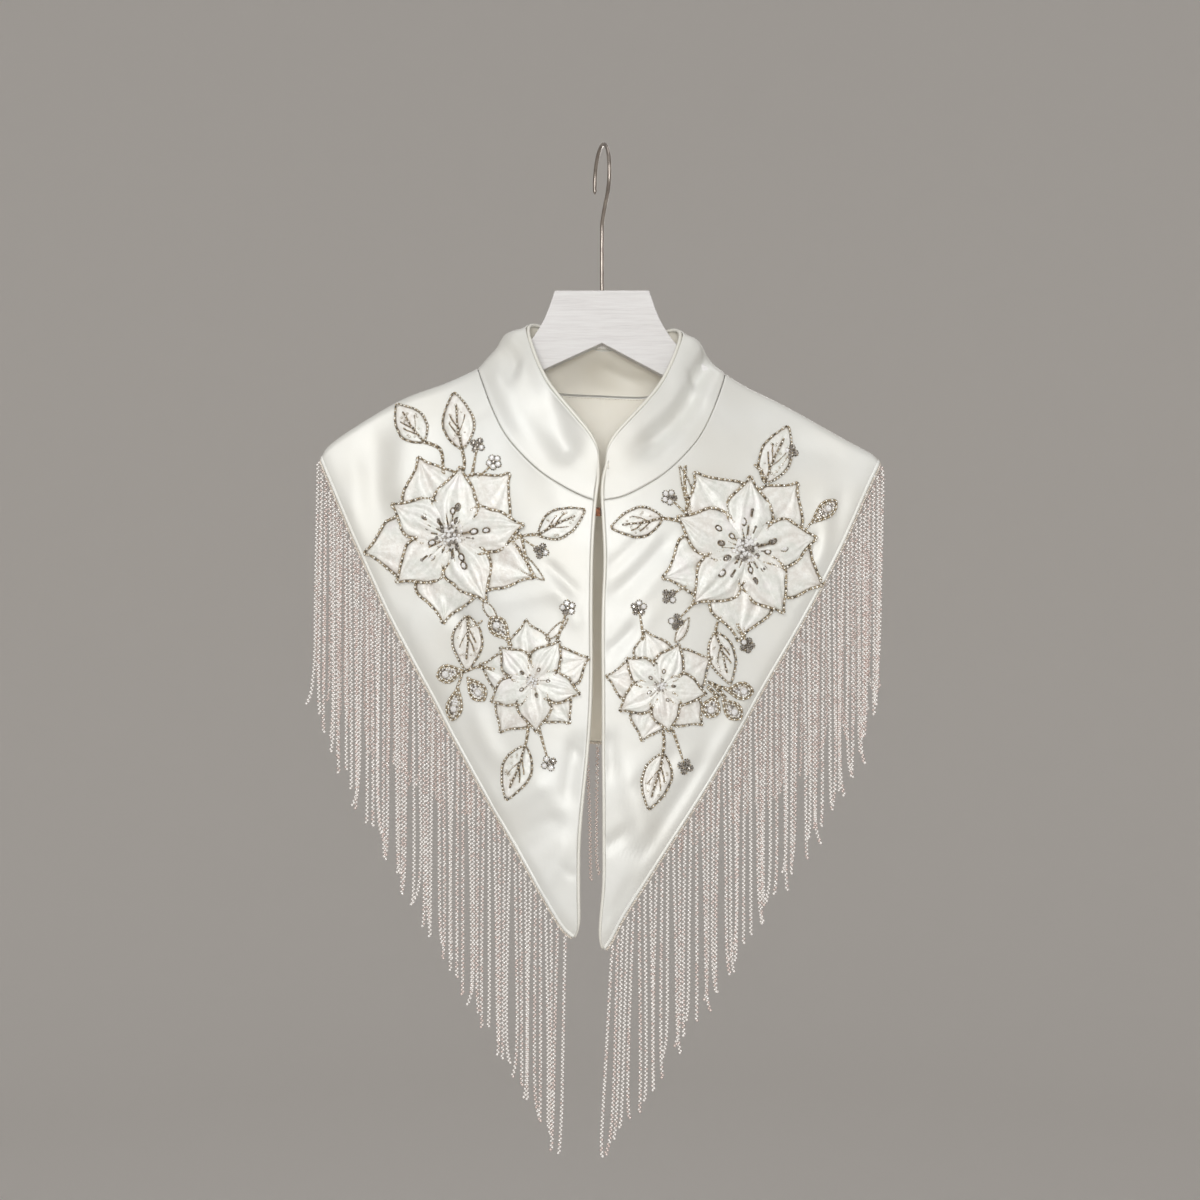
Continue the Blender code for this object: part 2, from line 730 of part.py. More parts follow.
def fringe_sections(hem, inside_row, normals):
    """Root sections along the hem: position, way out of the cloth, outward normal, share of the hem."""
    walked = length_along(hem)
    count = int((walked[-1] - STRIP_START - STRIP_STOP) / STRAND_PITCH)
    places = np.linspace(STRIP_START, walked[-1] - STRIP_STOP, count + 1)
    for corner in walked[1:-1]:
        nearest = np.abs(places - corner).argmin()
        if 0 < nearest < count and abs(places[nearest] - corner) < STRAND_PITCH / 2:
            places[nearest] = corner
    away = away_from(hem, inside_row, normals)
    sections = []
    for rows in (hem, away, normals):
        sections.append(np.array([np.interp(places, walked, column) for column in rows.T]).T)
    return sections[0], unit(sections[1]), unit(sections[2]), places / walked[-1]


def add_fringe(name, hem, inside_row, normals, lengths, parts, material):
    """A narrow strip along the hem, with a four-sided strand drawn out of each length of its lower face."""
    places, away, facing, shares = fringe_sections(hem, inside_row, normals)
    top = places + away * GAP * 1.5
    bottom = places + away * (GAP * 1.5 + STRIP_WIDTH)
    proud = facing * STRIP_PROUD
    sunk = facing * (PANEL_WALL + STRIP_PROUD)
    solid = bmesh.new()
    rings = []
    for corners in zip(top + proud, bottom + proud, bottom - sunk, top - sunk):
        rings.append([solid.verts.new(Vector(corner) * MM) for corner in corners])
    roots = []
    for first, second in zip(rings[:-1], rings[1:]):
        for corner in range(4):
            following = (corner + 1) % 4
            face = solid.faces.new((first[corner], first[following], second[following], second[corner]))
            if corner == 1:
                roots.append(face)
    solid.faces.new(rings[0][::-1])
    solid.faces.new(rings[-1])
    wanted = np.interp((shares[:-1] + shares[1:]) / 2, *np.array(lengths).T)
    for index, root in enumerate(roots):
        draw_strand(solid, root, index, len(roots), wanted[index], TIP_DRIFT.get(name, NO_DRIFT))
    bmesh.ops.recalc_face_normals(solid, faces=solid.faces)
    mesh = bpy.data.meshes.new(name)
    solid.to_mesh(mesh)
    solid.free()
    return add_object(name, mesh, parts, material)


def draw_strand(solid, root, index, count, length, tip_drift):
    """Draws the root face down to a hanging strand. Strands next to the hem's two ends drift sideways."""
    corners = [vert.co / MM for vert in root.verts]
    middle = sum(corners, Vector()) / len(corners)
    ahead = (corners[2] + corners[3] - corners[0] - corners[1]).x / 2
    facing = (corners[0] + corners[3] - corners[1] - corners[2]).y / 2
    half = min(STRAND_WIDTH, STRAND_SHARE * abs(ahead)) / 2
    half_x = math.copysign(half, ahead)
    half_y = math.copysign(half, facing)
    square = ((-half_x, half_y), (-half_x, -half_y), (half_x, -half_y), (half_x, half_y))
    from_corner = max(0.0, 1 - (count - 1 - index) / CORNER_STRANDS)
    side = "left" if middle.x < 0 else "right"
    drift = np.array(CORNER_DRIFT[side]) * math.copysign(from_corner**1.3, middle.x)
    drift = drift + np.array(tip_drift) * max(0.0, 1 - index / TIP_STRANDS)
    reach = length + LENGTH_JITTER * math.sin(2.4 * index) * math.cos(0.7 * index)
    sway = SWAY * math.sin(1.9 * index)
    drops = (STRAND_NECK, STRAND_BEND * reach, reach)
    swings = (0.0, 0.4 * sway, sway)
    face = root
    for drop, push, swing in zip(drops, drift, swings):
        face = bmesh.ops.extrude_discrete_faces(solid, faces=[face])["faces"][0]
        centre = middle + Vector((push + swing, 2 * swing, -drop))
        for vert, (x, y) in zip(face.verts, square):
            vert.co = (centre + Vector((x, y, 0))) * MM


# ---- applique


def panel_tree(grid):
    """A search tree over a panel's outer surface, which the applique is laid on."""
    rows, columns = grid.shape[:2]
    points = [Vector(point) for point in grid.reshape(-1, 3)]
    faces = []
    for i in range(rows - 1):
        for j in range(columns - 1):
            first = i * columns + j
            faces.append((first, first + 1, first + columns + 1, first + columns))
    return BVHTree.FromPolygons(points, faces)


def laid_on(tree, x, z, height):
    """The point at a height over the panel, in front of (x, z)."""
    hit, normal, _, _ = tree.ray_cast(Vector((x, -200.0, z)), Vector((0, 1, 0)))
    if normal.y > 0:
        normal = -normal
    return np.array(hit + normal * height)


def room_on(tree, x, z, angle, wanted):
    """The wanted distance from (x, z) at an angle, or less where the panel ends sooner."""
    while wanted > 1.0:
        far = (wanted + EDGE_MARGIN) * math.cos(angle), (wanted + EDGE_MARGIN) * math.sin(angle)
        if tree.ray_cast(Vector((x + far[0], -200.0, z + far[1])), Vector((0, 1, 0)))[0]:
            break
        wanted *= 0.98
    return wanted


def petal_reach(offset, length):
    """Distance from the flower's centre to the outline of a pointed petal, at an angle off its axis."""
    for share in np.linspace(1.0, 0.05, 60):
        half_width = PETAL_WIDTH * length / 2 * math.sin(math.pi * share**1.1) ** 0.75
        if half_width >= share * length * abs(math.tan(offset)):
            return share * length
    return 0.05 * length


def flower_outline(angle, reach, turn):
    """Reach of the flower at an angle, and how near that is to a petal's axis, from 0 to 1."""
    pitch = 2 * math.pi / PETALS
    best = 0.0
    for length, shift in ((reach * INNER_REACH, 0.0), (reach, pitch / 2)):
        offset = (angle - turn - shift + pitch / 2) % pitch - pitch / 2
        best = max(best, petal_reach(offset, length))
    near = abs(math.cos((angle - turn) * PETALS))
    return best, near


def add_flower(name, row, tree, parts, material):
    x, z, reach, turn = row
    turn = math.radians(turn)
    base = APPLIQUE_LIFT + APPLIQUE_WALL
    rings = []
    for share in FLOWER_RINGS:
        ring = []
        for spoke in range(FLOWER_SPOKES):
            angle = turn + 2 * math.pi * spoke / FLOWER_SPOKES
            outline, near = flower_outline(angle, reach, turn)
            radius = room_on(tree, x, z, angle, outline) * share
            rise = PETAL_RISE * near * math.sin(math.pi * share) + CENTRE_RISE * (share < 0.2)
            spot = x + radius * math.cos(angle), z + radius * math.sin(angle)
            ring.append(laid_on(tree, *spot, base + rise))
        rings.append(ring)
    middle = laid_on(tree, x, z, base + CENTRE_RISE)
    mesh = grid_mesh(name, np.array(rings), flip=True, closed=True, middle=middle)
    return thicken(add_object(name, mesh, parts, material), APPLIQUE_WALL)


def add_lens(name, row, rise, pointed, tree, parts, material):
    """A leaf, pointed at its tip, or a drop-shaped stone, round at its tip, laid on the panel."""
    base = np.array(row[0:2])
    tip = np.array(row[2:4])
    width = row[4]
    direction = (tip - base) / np.linalg.norm(tip - base)
    square = np.array((-direction[1], direction[0]))
    ground = APPLIQUE_LIFT + APPLIQUE_WALL
    rings = []
    for share in LEAF_ROWS:
        peak = share if pointed else share**1.5
        half = max(width / 2 * math.sin(math.pi * peak) ** 0.8, LENS_END_WIDTH / 2)
        centre = base + (tip - base) * share
        ring = []
        for place in (-1.0, 0.0, 1.0):
            x, z = centre + square * half * place
            lift = rise * math.sin(math.pi * peak) * (place == 0.0)
            ring.append(laid_on(tree, x, z, ground + max(lift, 0.0)))
        rings.append(ring)
    mesh = grid_mesh(name, np.array(rings), flip=True)
    return thicken(add_object(name, mesh, parts, material), APPLIQUE_WALL)


# ---- hook and eye


def add_clasp(name, start, end, tree, parts, material):
    """One flat half of the neck's hook and eye, just inside the fronts."""
    height = FRONT_EDGE["left"][0][1] - CLASP_DROP
    inside = laid_on(tree, start, height, 0)[1] + PANEL_WALL + 2 * GAP + CLASP_THICKNESS / 2
    bpy.ops.mesh.primitive_cube_add(size=1)
    made = bpy.context.object
    made.name = name
    made.data.name = name
    for vert in made.data.vertices:
        vert.co.x = ((start + end) / 2 + vert.co.x * abs(end - start)) * MM
        vert.co.y = (inside + vert.co.y * CLASP_THICKNESS) * MM
        vert.co.z = (height + vert.co.z * CLASP_HEIGHT) * MM
    for collection in list(made.users_collection):
        collection.objects.unlink(made)
    parts.objects.link(made)
    made.data.materials.append(material)
    bevel = made.modifiers.new("Round edges", "BEVEL")
    bevel.width = CLASP_THICKNESS / 4 * MM
    return made


def main():
    clear_scene()
    parts = new_collection("cloud_collar_cape")
    cutters = new_collection("cutters")
    satin = new_material("ivory_satin", (0.86, 0.84, 0.80), 0.42)
    trim = new_material("ivory_piping", (0.88, 0.85, 0.79), 0.45)
    organza = new_material("pearl_organza", (0.80, 0.78, 0.75), 0.35)
    stone = new_material("clear_stone", (0.75, 0.75, 0.76), 0.08, 0.6)
    beads = new_material("silver_beads", (0.60, 0.52, 0.50), 0.3, 0.3)
    wood = new_material("white_wood", (0.78, 0.77, 0.76), 0.6)
    wire = new_material("brushed_wire", (0.62, 0.58, 0.54), 0.3, 1.0)
    bronze = new_material("dark_bronze", (0.12, 0.06, 0.04), 0.4, 0.8)

    fronts = {side: front_grid(side) for side in ("left", "right")}
    back = back_grid()
    collar = collar_grid(fronts, back)

    front_left = grid_mesh("front_left", fronts["left"])
    thicken(add_object("front_left", front_left, parts, satin), PANEL_WALL)
    front_right = grid_mesh("front_right", fronts["right"], flip=True)
    thicken(add_object("front_right", front_right, parts, satin), PANEL_WALL)
    thicken(add_object("back", grid_mesh("back", back), parts, satin), PANEL_WALL)
    thicken(add_object("collar", grid_mesh("collar", collar, flip=True), parts, satin), COLLAR_WALL)
    add_tube("piping", piping_route(fronts, collar), PIPING_RADIUS, parts, trim)

    for side in ("left", "right"):
        grid = fronts[side]
        name = f"fringe_front_{side}"
        normals = -inner_side(grid)[-1, :-1]
        lengths = FRINGE_LENGTH[f"front_{side}"]
        add_fringe(name, grid[-1, :-1], grid[-2, :-1], normals, lengths, parts, beads)
    middle = back.shape[1] // 2
    normals = -inner_side(back)[-1]
    left_half = slice(middle, 0, -1)
    right_half = slice(middle, -1)
    for side, half in (("left", left_half), ("right", right_half)):
        name = f"fringe_back_{side}"
        add_fringe(name, back[-1, half], back[-2, half], normals[half], FRINGE_LENGTH["back"], parts, beads)

    trees = {side: panel_tree(fronts[side]) for side in fronts}
    for name, row in FLOWERS.items():
        add_flower(name, row, trees["left" if row[0] < 0 else "right"], parts, organza)
    for name, row in LEAVES.items():
        add_lens(name, row, LEAF_RISE, True, trees["left" if row[0] < 0 else "right"], parts, organza)
    for name, row in STONES.items():
        add_lens(name, row, STONE_RISE, False, trees["left" if row[0] < 0 else "right"], parts, stone)

    add_clasp("clasp_hook", CLASP_JOINT - CLASP_REACH, CLASP_JOINT - GAP / 2, trees["left"], parts, bronze)
    add_clasp("clasp_eye", CLASP_JOINT + CLASP_REACH, CLASP_JOINT + GAP / 2, trees["right"], parts, bronze)

    add_plate(parts, cutters, wood)
    add_tube("hanger_hook", hook_route(), WIRE_RADIUS, parts, wire)


main()
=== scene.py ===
import math

import bmesh
import bpy
import numpy as np
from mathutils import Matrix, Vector
from mathutils.bvhtree import BVHTree


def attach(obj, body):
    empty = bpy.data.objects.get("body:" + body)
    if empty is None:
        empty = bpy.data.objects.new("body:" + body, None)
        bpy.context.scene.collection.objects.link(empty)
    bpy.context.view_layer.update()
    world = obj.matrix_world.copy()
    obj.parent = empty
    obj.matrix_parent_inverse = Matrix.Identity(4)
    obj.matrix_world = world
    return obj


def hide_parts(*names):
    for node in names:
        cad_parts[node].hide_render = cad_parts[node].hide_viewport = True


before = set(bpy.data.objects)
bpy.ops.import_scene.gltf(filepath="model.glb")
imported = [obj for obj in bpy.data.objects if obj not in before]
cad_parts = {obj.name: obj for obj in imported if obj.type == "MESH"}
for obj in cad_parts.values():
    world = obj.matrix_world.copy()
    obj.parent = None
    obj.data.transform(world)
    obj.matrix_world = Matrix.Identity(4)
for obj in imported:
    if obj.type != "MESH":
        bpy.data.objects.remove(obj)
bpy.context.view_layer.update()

# Tables and sizes are in millimetres, in the frame of the CAD. MM makes them metres.
MM = 0.001
GAP = 0.3
rng = np.random.default_rng(7)

# ---- camera

CAMERA = (-1.6, -1280.0, -370.8)
PLANE_DISTANCE = 1250.0  # from the camera to where the photograph's scale was read
PLANE_WIDTH = 960.0  # of the frame there
SENSOR = 36.0
FAR_CLIP = 60.0  # in metres
camera_data = bpy.data.cameras.new("camera")
camera_data.sensor_width = SENSOR
camera_data.lens = SENSOR * PLANE_DISTANCE / PLANE_WIDTH
camera_data.clip_end = FAR_CLIP
camera = bpy.data.objects.new("camera", camera_data)
camera.location = [value * MM for value in CAMERA]
camera.rotation_euler = (math.radians(90), 0.0, 0.0)
bpy.context.scene.collection.objects.link(camera)
bpy.context.scene.camera = camera

# ---- the cape's sizes, as in the CAD but for the collar's trough and bow and the strands' drift

PANEL_WALL = 1.6
COLLAR_WALL = 1.8
PIPING_RADIUS = 1.4
CAP_HALF = 6.0
SHOULDER_ROUND = 5.5
FRONT_BULGE = 37.0
FRONT_BULGE_REACH = 45.0
BACK_BULGE = 41.0
BACK_BULGE_REACH = 22.0
BULGE_HALF_WIDTH = 120.0
HEM_TAPER = 0.15
TAPER_FROM = -330.0
TAPER_LENGTH = 300.0
# Points of the outlines, x and z in the front view, from the neck outwards or from the neck down.
SHOULDER = {
    "left": (
        (-101.5, -182.4), (-126.9, -193.9), (-163.8, -207.8), (-202.3, -230.4), (-222.3, -244.6),
        (-230.6, -253.7),
    ),
    "right": (
        (100.7, -186.9), (120.5, -198.8), (149.1, -212.7), (199.1, -240.5), (220.5, -251.8),
        (227.8, -256.9),
    ),
}
SHOULDER_COS = 0.9
VIRTUAL_NECK = (0.0, -137.0)
# From the front's tip to the shoulder's tip.
FRONT_HEM = {
    "left": (
        (-23.2, -638.8), (-29.6, -634.6), (-40.8, -618), (-68.9, -569.5), (-97.9, -520.5),
        (-131.8, -460), (-169.5, -390.2), (-200, -324.6), (-222, -273.7), (-230.6, -253.7),
    ),
    "right": (
        (2.4, -648.6), (8.2, -640.6), (17.6, -622), (45.7, -579), (90.8, -509.8), (128, -445.6),
        (163, -386.9), (192.9, -331.1), (217.1, -278.6), (227.8, -256.9),
    ),
}
FRONT_EDGE = {
    "left": (
        (-6.7, -292), (-9, -327), (-9.8, -372.4), (-10, -444), (-13.4, -495.4), (-19, -556.2),
        (-19.8, -600), (-19.3, -626.6), (-20.3, -635.4), (-23.2, -638.8),
    ),
    "right": (
        (1.5, -292), (3.1, -322), (3.6, -342.3), (1.9, -385), (2.1, -449.3), (2.5, -536),
        (2.5, -592.7), (0.9, -612), (-0.7, -631.5), (-0.6, -643), (2.4, -648.6),
    ),
}
BACK_HEM_HALF = (
    (-230.6, -253.7), (-206, -303), (-172, -352), (-128, -402), (-78, -449),
    (-32, -483), (0, -492),
)
# The collar's left half, a row for each station. Columns: x and z of the seam, x, y and z of the free edge.
COLLAR_HALF = (
    (-6.7, -292, -3.1, -45, -263),
    (-16, -288.6, -2.6, -45, -249.5),
    (-31, -281, -8.5, -44.6, -237.2),
    (-49, -269.2, -20.6, -42.4, -222.7),
    (-65.4, -253.6, -32, -38.3, -209),
    (-78.5, -237, -41.8, -32.8, -195.5),
    (-88.5, -217, -50, -25.6, -178.8),
    (-96, -197.5, -56.5, -16.5, -161),
    (-101.5, -182.4, -60, -4, -145.5),
    (-93, -186.5, -54.5, 10, -141.5),
    (-70, -192, -41, 18.5, -145.5),
    (-36, -196.5, -22, 23, -154.5),
    (0, -198, 0, 24, -159),
)
SIDE_STATION = 8
CENTRE_STATION = 12
RIGHT_SPREAD = 4.0
RIGHT_DROP = 4.5
RIGHT_START_Y = 0.5
CAD_STATIONS = (
    0, 0.5, 1, 1.5, 2, 2.5, 3, 3.5, 4, 4.5, 5, 5.5, 6, 6.5, 7, 7.4, 7.7, 7.87,
    7.94, 8, 8.06, 8.13, 8.3, 8.6, 9, 9.5, 10, 10.5, 11, 11.5, 12,
)
TROUGH_DEPTH = 2.4
TROUGH_ROW = 0.52
TROUGH_WIDTH = 0.17
BOW_DEPTH = {"left": 8.6, "right": 5.0}
BOW_PLACE = 0.38
BOW_SPREAD = 0.22
SIDE_STEER = 1.4
STRIP_WIDTH = 3.0
STRIP_START = 0.6
STRIP_STOP = 3.0
STRAND_PITCH = 8.4
# Length of a strand at shares of its hem, from the front's tip or from the centre back.
FRINGE_LENGTH = {
    "front_left": ((0, 168), (0.08, 174), (0.3, 178), (0.55, 184), (0.9, 200), (1, 192)),
    "front_right": ((0, 168), (0.25, 163), (0.4, 170), (0.9, 192), (1, 178)),
    "back": ((0, 108), (0.3, 122), (0.6, 150), (1, 178)),
}
CORNER_STRANDS = 4
CORNER_DRIFT = {"left": (0.2, 1.4, 2.4), "right": (1.0, -2.0, -4.0)}
TIP_STRANDS = 5
TIP_DRIFT = {"fringe_front_left": (0.0, -1.2, -2.5), "fringe_front_right": (0.0, -7.0, -10.0)}
LENGTH_JITTER = 5.0
PLATE_TOP = -118.6
BORE_DEPTH = 16.0
WIRE_RADIUS = 1.6
LOOP_INNER_RADIUS = 25.0
LOOP_TURN = math.radians(13.0)
SHANK_STRAIGHT_TOP = -64.0
LOOP_FROM = 30.0
LOOP_TO = 285.0

# ---- what the scene adds

# Distances from an edge at which a panel has lines of its own, and how far they stand out of the cloth there.
NECK_LINES = (0.0, 0.5, 1.1, 2.0, 3.4)
NECK_RELIEF = (-0.5, -0.15, 0.08, 0.08, 0.0)
EDGE_LINES = (0.0, 0.6, 1.3, 2.2)
EDGE_RELIEF = (-0.35, 0.0, 0.08, 0.0)
HEM_LINES = (0.0, 0.5, 1.1, 1.8, 2.3, 2.7, 3.2, 4.2)
HEM_RELIEF = (-0.3, 0.15, 0.35, 0.3, 0.05, -0.25, -0.1, 0.0)
RIDGE_LINES = (0.0, 0.7, 1.5, 2.5, 3.8, 5.4, 7.4)
FRONT_GRID = (84, 60)  # even rows and columns between those lines
BACK_GRID = (60, 96)
COLLAR_SHARES = np.linspace(0, 1, 49)
COLLAR_GRID_ROWS = 34
CAP_STEPS = (4.2, 2.4, 1.0, 0.2)
CAP_CROWN = 0.7
CAP_SEAM_DIP = 0.35
CAP_PLACES = (-4.0, -2.0, 0.0, 2.0, 4.0)  # in y, where the collar's seam crosses the shoulder
CAP_STATIONS = (-0.04, -0.02, 0.0, 0.02, 0.04)
CAP_MARGIN = 0.06
RELIEF_FADE = 25.0  # below the shoulder line
BACK_RIPPLE_SHIFT = 40.0

# Soft folds of the panels. Columns: x, z of one end, x, z of the other, width, height, below 0 for a trough.
FOLDS = {
    "left": (
        (-182, -232, -176, -312, 13, -3.4),
        (-203, -262, -199, -300, 9, 1.2),
        (-158, -228, -156, -290, 13, 1.8),
        (-66, -236, -30, -300, 12, 1.6),
        (-45, -343, -19, -364, 4.5, -1.7),
        (-40, -360, -17, -392, 7, 1.4),
        (-140, -363, -104, -392, 8, -2.2),
        (-163, -392, -124, -466, 8, -2.2),
        (-92, -372, -34, -366, 8, 1.3),
        (-100, -455, -82, -500, 9, 1.6),
        (-19, -480, -26, -532, 6.5, -2.3),
        (-45, -512, -84, -540, 8, 2.2),
        (-31, -544, -68, -566, 6.5, -2.2),
        (-28, -560, -52, -600, 7, 1.5),
        (-27, -487, -16, -497, 2.6, -0.8),
        (-31, -583, -20, -589, 2.8, -0.9),
    ),
    "right": (
        (54, -320, 6, -372, 8, -2.5),
        (58, -338, 12, -388, 8, 1.1),
        (36, -313, 6, -348, 5, -1.4),
        (28, -391, 4, -412, 5, -1.8),
        (44, -376, 12, -424, 7, 0.8),
        (173, -318, 165, -343, 4, -1.7),
        (184, -285, 178, -340, 7, 1.2),
        (197, -286, 177, -352, 7, -1.2),
        (196, -258, 150, -244, 14, -1.6),
        (8, -478, 6, -510, 6, -1.8),
        (18, -505, 40, -562, 9, 2.2),
        (1, -565, 22, -554, 5, -1.9),
        (80, -492, 36, -572, 7.5, -2),
        (60, -488, 24, -520, 8, -1.4),
        (16, -567, 38, -571, 3.2, -1),
        (112, -456, 90, -500, 8, 1.4),
        (24, -590, 12, -622, 6, -1.2),
    ),
    "back": (
        (-96, -214, -120, -330, 15, -3.4),
        (-66, -226, -74, -420, 17, 2.6),
        (-26, -236, -34, -480, 13, -3),
        (4, -226, 6, -470, 14, 2.2),
        (44, -228, 52, -440, 14, -2.8),
        (86, -220, 96, -370, 14, 2.6),
        (132, -230, 142, -350, 12, -2.2),
        (-152, -236, -164, -330, 12, 2.2),
        (60, -430, 30, -470, 8, -1.6),
        (176, -250, 184, -310, 9, 1.6),
    ),
}
HEM_CURL = 1.5
HEM_CURL_WIDTH = 7.0
# Folds of the collar. Columns: share along it and share of its height, at both ends, then width and depth.
COLLAR_FOLDS = (
    (0.31, 0.50, 0.21, 0.62, 11, -5.5),
    (0.07, 0.56, 0.15, 0.86, 14, -5.5),
    (0.24, 0.34, 0.14, 0.42, 12, 2),
    (0.34, 0.78, 0.20, 0.84, 9, 1.8),
    (0.30, 0.18, 0.14, 0.24, 8, 1.2),
    (0.68, 0.42, 0.79, 0.47, 9.5, -8.5),
    (0.79, 0.47, 0.91, 0.47, 9.5, -7.5),
    (0.71, 0.10, 0.80, 0.14, 6, 1.5),
    (0.66, 0.80, 0.82, 0.86, 8, 1.6),
    (0.69, 0.52, 0.80, 0.62, 5, 1),
    (0.53, 0.62, 0.57, 0.20, 7, -3),
    (0.50, 0.70, 0.53, 0.25, 6, 2.2),
    (0.45, 0.66, 0.42, 0.25, 7, -2.6),
    (0.60, 0.55, 0.61, 0.15, 6, 2),
    (0.39, 0.60, 0.385, 0.15, 6, 1.3),
)

# Flowers. Columns: x, z, outer reach, inner reach, turn in degrees.
FLOWERS = {
    "left_large": (-120, -320.4, 71, 57, 9),
    "left_small": (-54.5, -434.8, 46, 38, -12),
    "right_large": (114.5, -330.6, 71, 58, 15),
    "right_small": (46, -438.6, 44.5, 36, -5),
}
PETALS = 5
# Half width of a petal along its length, as a share of its widest. It hollows towards its pointed tip.
PETAL_SHAPES = {
    "outer": (
        (0, 0.10), (0.15, 0.42), (0.33, 0.78), (0.48, 0.97), (0.60, 1), (0.71, 0.85), (0.81, 0.5),
        (0.89, 0.21), (0.95, 0.08), (1, 0.02),
    ),
    "inner": (
        (0, 0.12), (0.12, 0.48), (0.26, 0.82), (0.42, 1), (0.55, 0.98), (0.69, 0.80), (0.80, 0.48),
        (0.89, 0.21), (0.95, 0.08), (1, 0.02),
    ),
}
# A leaf is fuller near its base.
LEAF_SHAPE = ((0, 0.12), (0.1, 0.5), (0.25, 0.87), (0.4, 1), (0.58, 0.93), (0.75, 0.66), (0.9, 0.3), (1, 0.03))
# Leaves, and below them the drop-shaped stones. Columns: base x, z, tip x, z, width.
LEAVES = {
    "left_upper_outer": (-144, -243, -166, -213, 24),
    "left_upper_inner": (-112, -249, -119.5, -204, 25),
    "left_front": (-49.5, -319, -14.2, -300, 22),
    "left_middle": (-107, -384, -107.5, -427, 24),
    "left_lower": (-61, -487, -75.5, -528.5, 23),
    "right_upper": (131, -276, 150, -231, 25),
    "right_front": (47, -306, 7.8, -313.5, 23),
    "right_middle": (90, -397, 102, -437, 21),
    "right_lower": (48, -493, 37, -535.5, 23),
}
STONES = {
    "stone_left_1": (-73.5, -402.5, -87, -386.5, 14),
    "stone_left_2": (-111, -427, -130, -431.5, 14),
    "stone_left_3": (-107, -433, -95, -449, 13.5),
    "stone_left_4": (-114.8, -440.5, -119.5, -465, 12.5),
    "stone_right_1": (168.5, -309, 187.5, -292, 12),
    "stone_right_2": (98.5, -442.5, 118.5, -444, 13.5),
    "stone_right_3": (90.5, -447, 84.5, -462, 14.5),
    "stone_right_4": (95.5, -450, 109, -464, 13),
}
# Clusters of round stones on a stem. Columns: x, z, stones, stem's far end x, z.
CLUSTERS = (
    (-99.5, -247, 4, -104, -272),
    (-86, -261, 5, -101, -276),
    (-48, -332, 4, -76, -314),
    (-27, -377, 5, -36, -404),
    (-42, -500, 4, -50, -472),
    (152.5, -251, 4, 140, -268),
    (53, -289.5, 5, 70, -306),
    (53, -368, 4, 72, -356),
    (58.5, -388, 4, 74, -372),
    (116, -407, 5, 108, -390),
    (29, -377, 5, 33, -402),
    (66, -503, 4, 56, -474),
)
# Beaded stems. Columns: x and z of one end, of the middle, and of the other end.
STEMS = (
    (-144, -243, -130, -250, -127, -270),
    (-112, -249, -110, -262, -112, -272),
    (-49.5, -319, -62, -320, -77, -327),
    (-107, -384, -104, -392, -96, -388),
    (-61, -487, -59, -478, -58, -468),
    (-76, -318, -62, -336, -54, -352),
    (-109, -428, -98, -424, -86, -426),
    (-111, -428, -113, -434, -115.5, -440.5),
    (-86, -387, -78, -398, -72, -407),
    (131, -276, 128, -268, 123, -262),
    (47, -306, 60, -308, 74, -314),
    (90, -397, 92, -388, 98, -380),
    (48, -493, 49, -482, 48, -474),
    (167.5, -309.5, 164, -314, 160, -318),
    (66, -265, 66, -285, 74, -308),
    (93, -448, 88, -444, 84, -440),
    (102, -442, 94, -440, 84, -436),
    (98, -448.5, 94, -444, 88, -438),
)
# Narrow open petals. Columns: base x, z, tip x, z, width.
SLIVERS = (
    (74, -308, 65, -264, 8),
    (-74, -330, -48, -357, 11),
    (-94, -372, -84, -389, 7),
    (-44, -402, -26, -387, 6),
    (100, -372, 112, -402, 8),
    (58, -404, 70, -386, 7),
)
# Beads of the fringe: sizes, how far they weave from side to side, how that turns along a strand, and chance.
BEAD = {
    "pitch": 1.65, "width": 1.08, "height": 0.97, "weave": 0.58, "spin": (0.45, 0.11), "chance": (0.93, 1.07),
}
# Rose beads are a real tint of the strands; the back's larger share of these darker beads is painted shade on
# the fringe that hangs behind the fronts.
ROSE_SHARE = {"front": 0.25, "back": 0.75}
ROSE_SWING = (0.25, 1.7)  # size, and turn from strand to strand


# ---- curves and surfaces, in millimetres

POINTS_PER_ROW = 12
LEAST_LENGTH = 1e-9


def through(rows, places):
    """Points of a smooth curve through the rows, at places counted in rows."""
    rows = np.array(rows, float)
    padded = np.vstack([2 * rows[0] - rows[1], rows, 2 * rows[-1] - rows[-2]])
    points = []
    for place in places:
        start = min(int(place), len(rows) - 2)
        t = place - start
        before, first, second, after = padded[start : start + 4]
        bend = 2 * before - 5 * first + 4 * second - after
        twist = 3 * (first - second) + after - before
        points.append(first + 0.5 * t * (second - before + t * (bend + t * twist)))
    return np.array(points)


def length_along(points):
    """How far each point is from the first one, along a line of points or each column of a grid."""
    steps = np.linalg.norm(np.diff(points, axis=0), axis=-1)
    return np.concatenate([np.zeros((1, *steps.shape[1:])), np.cumsum(steps, axis=0)])


def between(places, walked, rows):
    """The rows at places that lie between the walked ones."""
    return np.array([np.interp(places, walked, column) for column in rows.T]).T


def on_line(points, shares):
    walked = length_along(points)
    return between(np.array(shares) * walked[-1], walked, points)


def along(rows, shares):
    """Points of a smooth curve through the rows, at shares of its length."""
    last = len(rows) - 1
    dense = through(rows, np.linspace(0, last, POINTS_PER_ROW * last + 1))
    return on_line(dense, shares)


def every(points, pitch):
    """Points at an even pitch along a line of points."""
    total = length_along(points)[-1]
    count = max(2, int(round(total / pitch)) + 1)
    return on_line(points, np.linspace(0, 1, count))


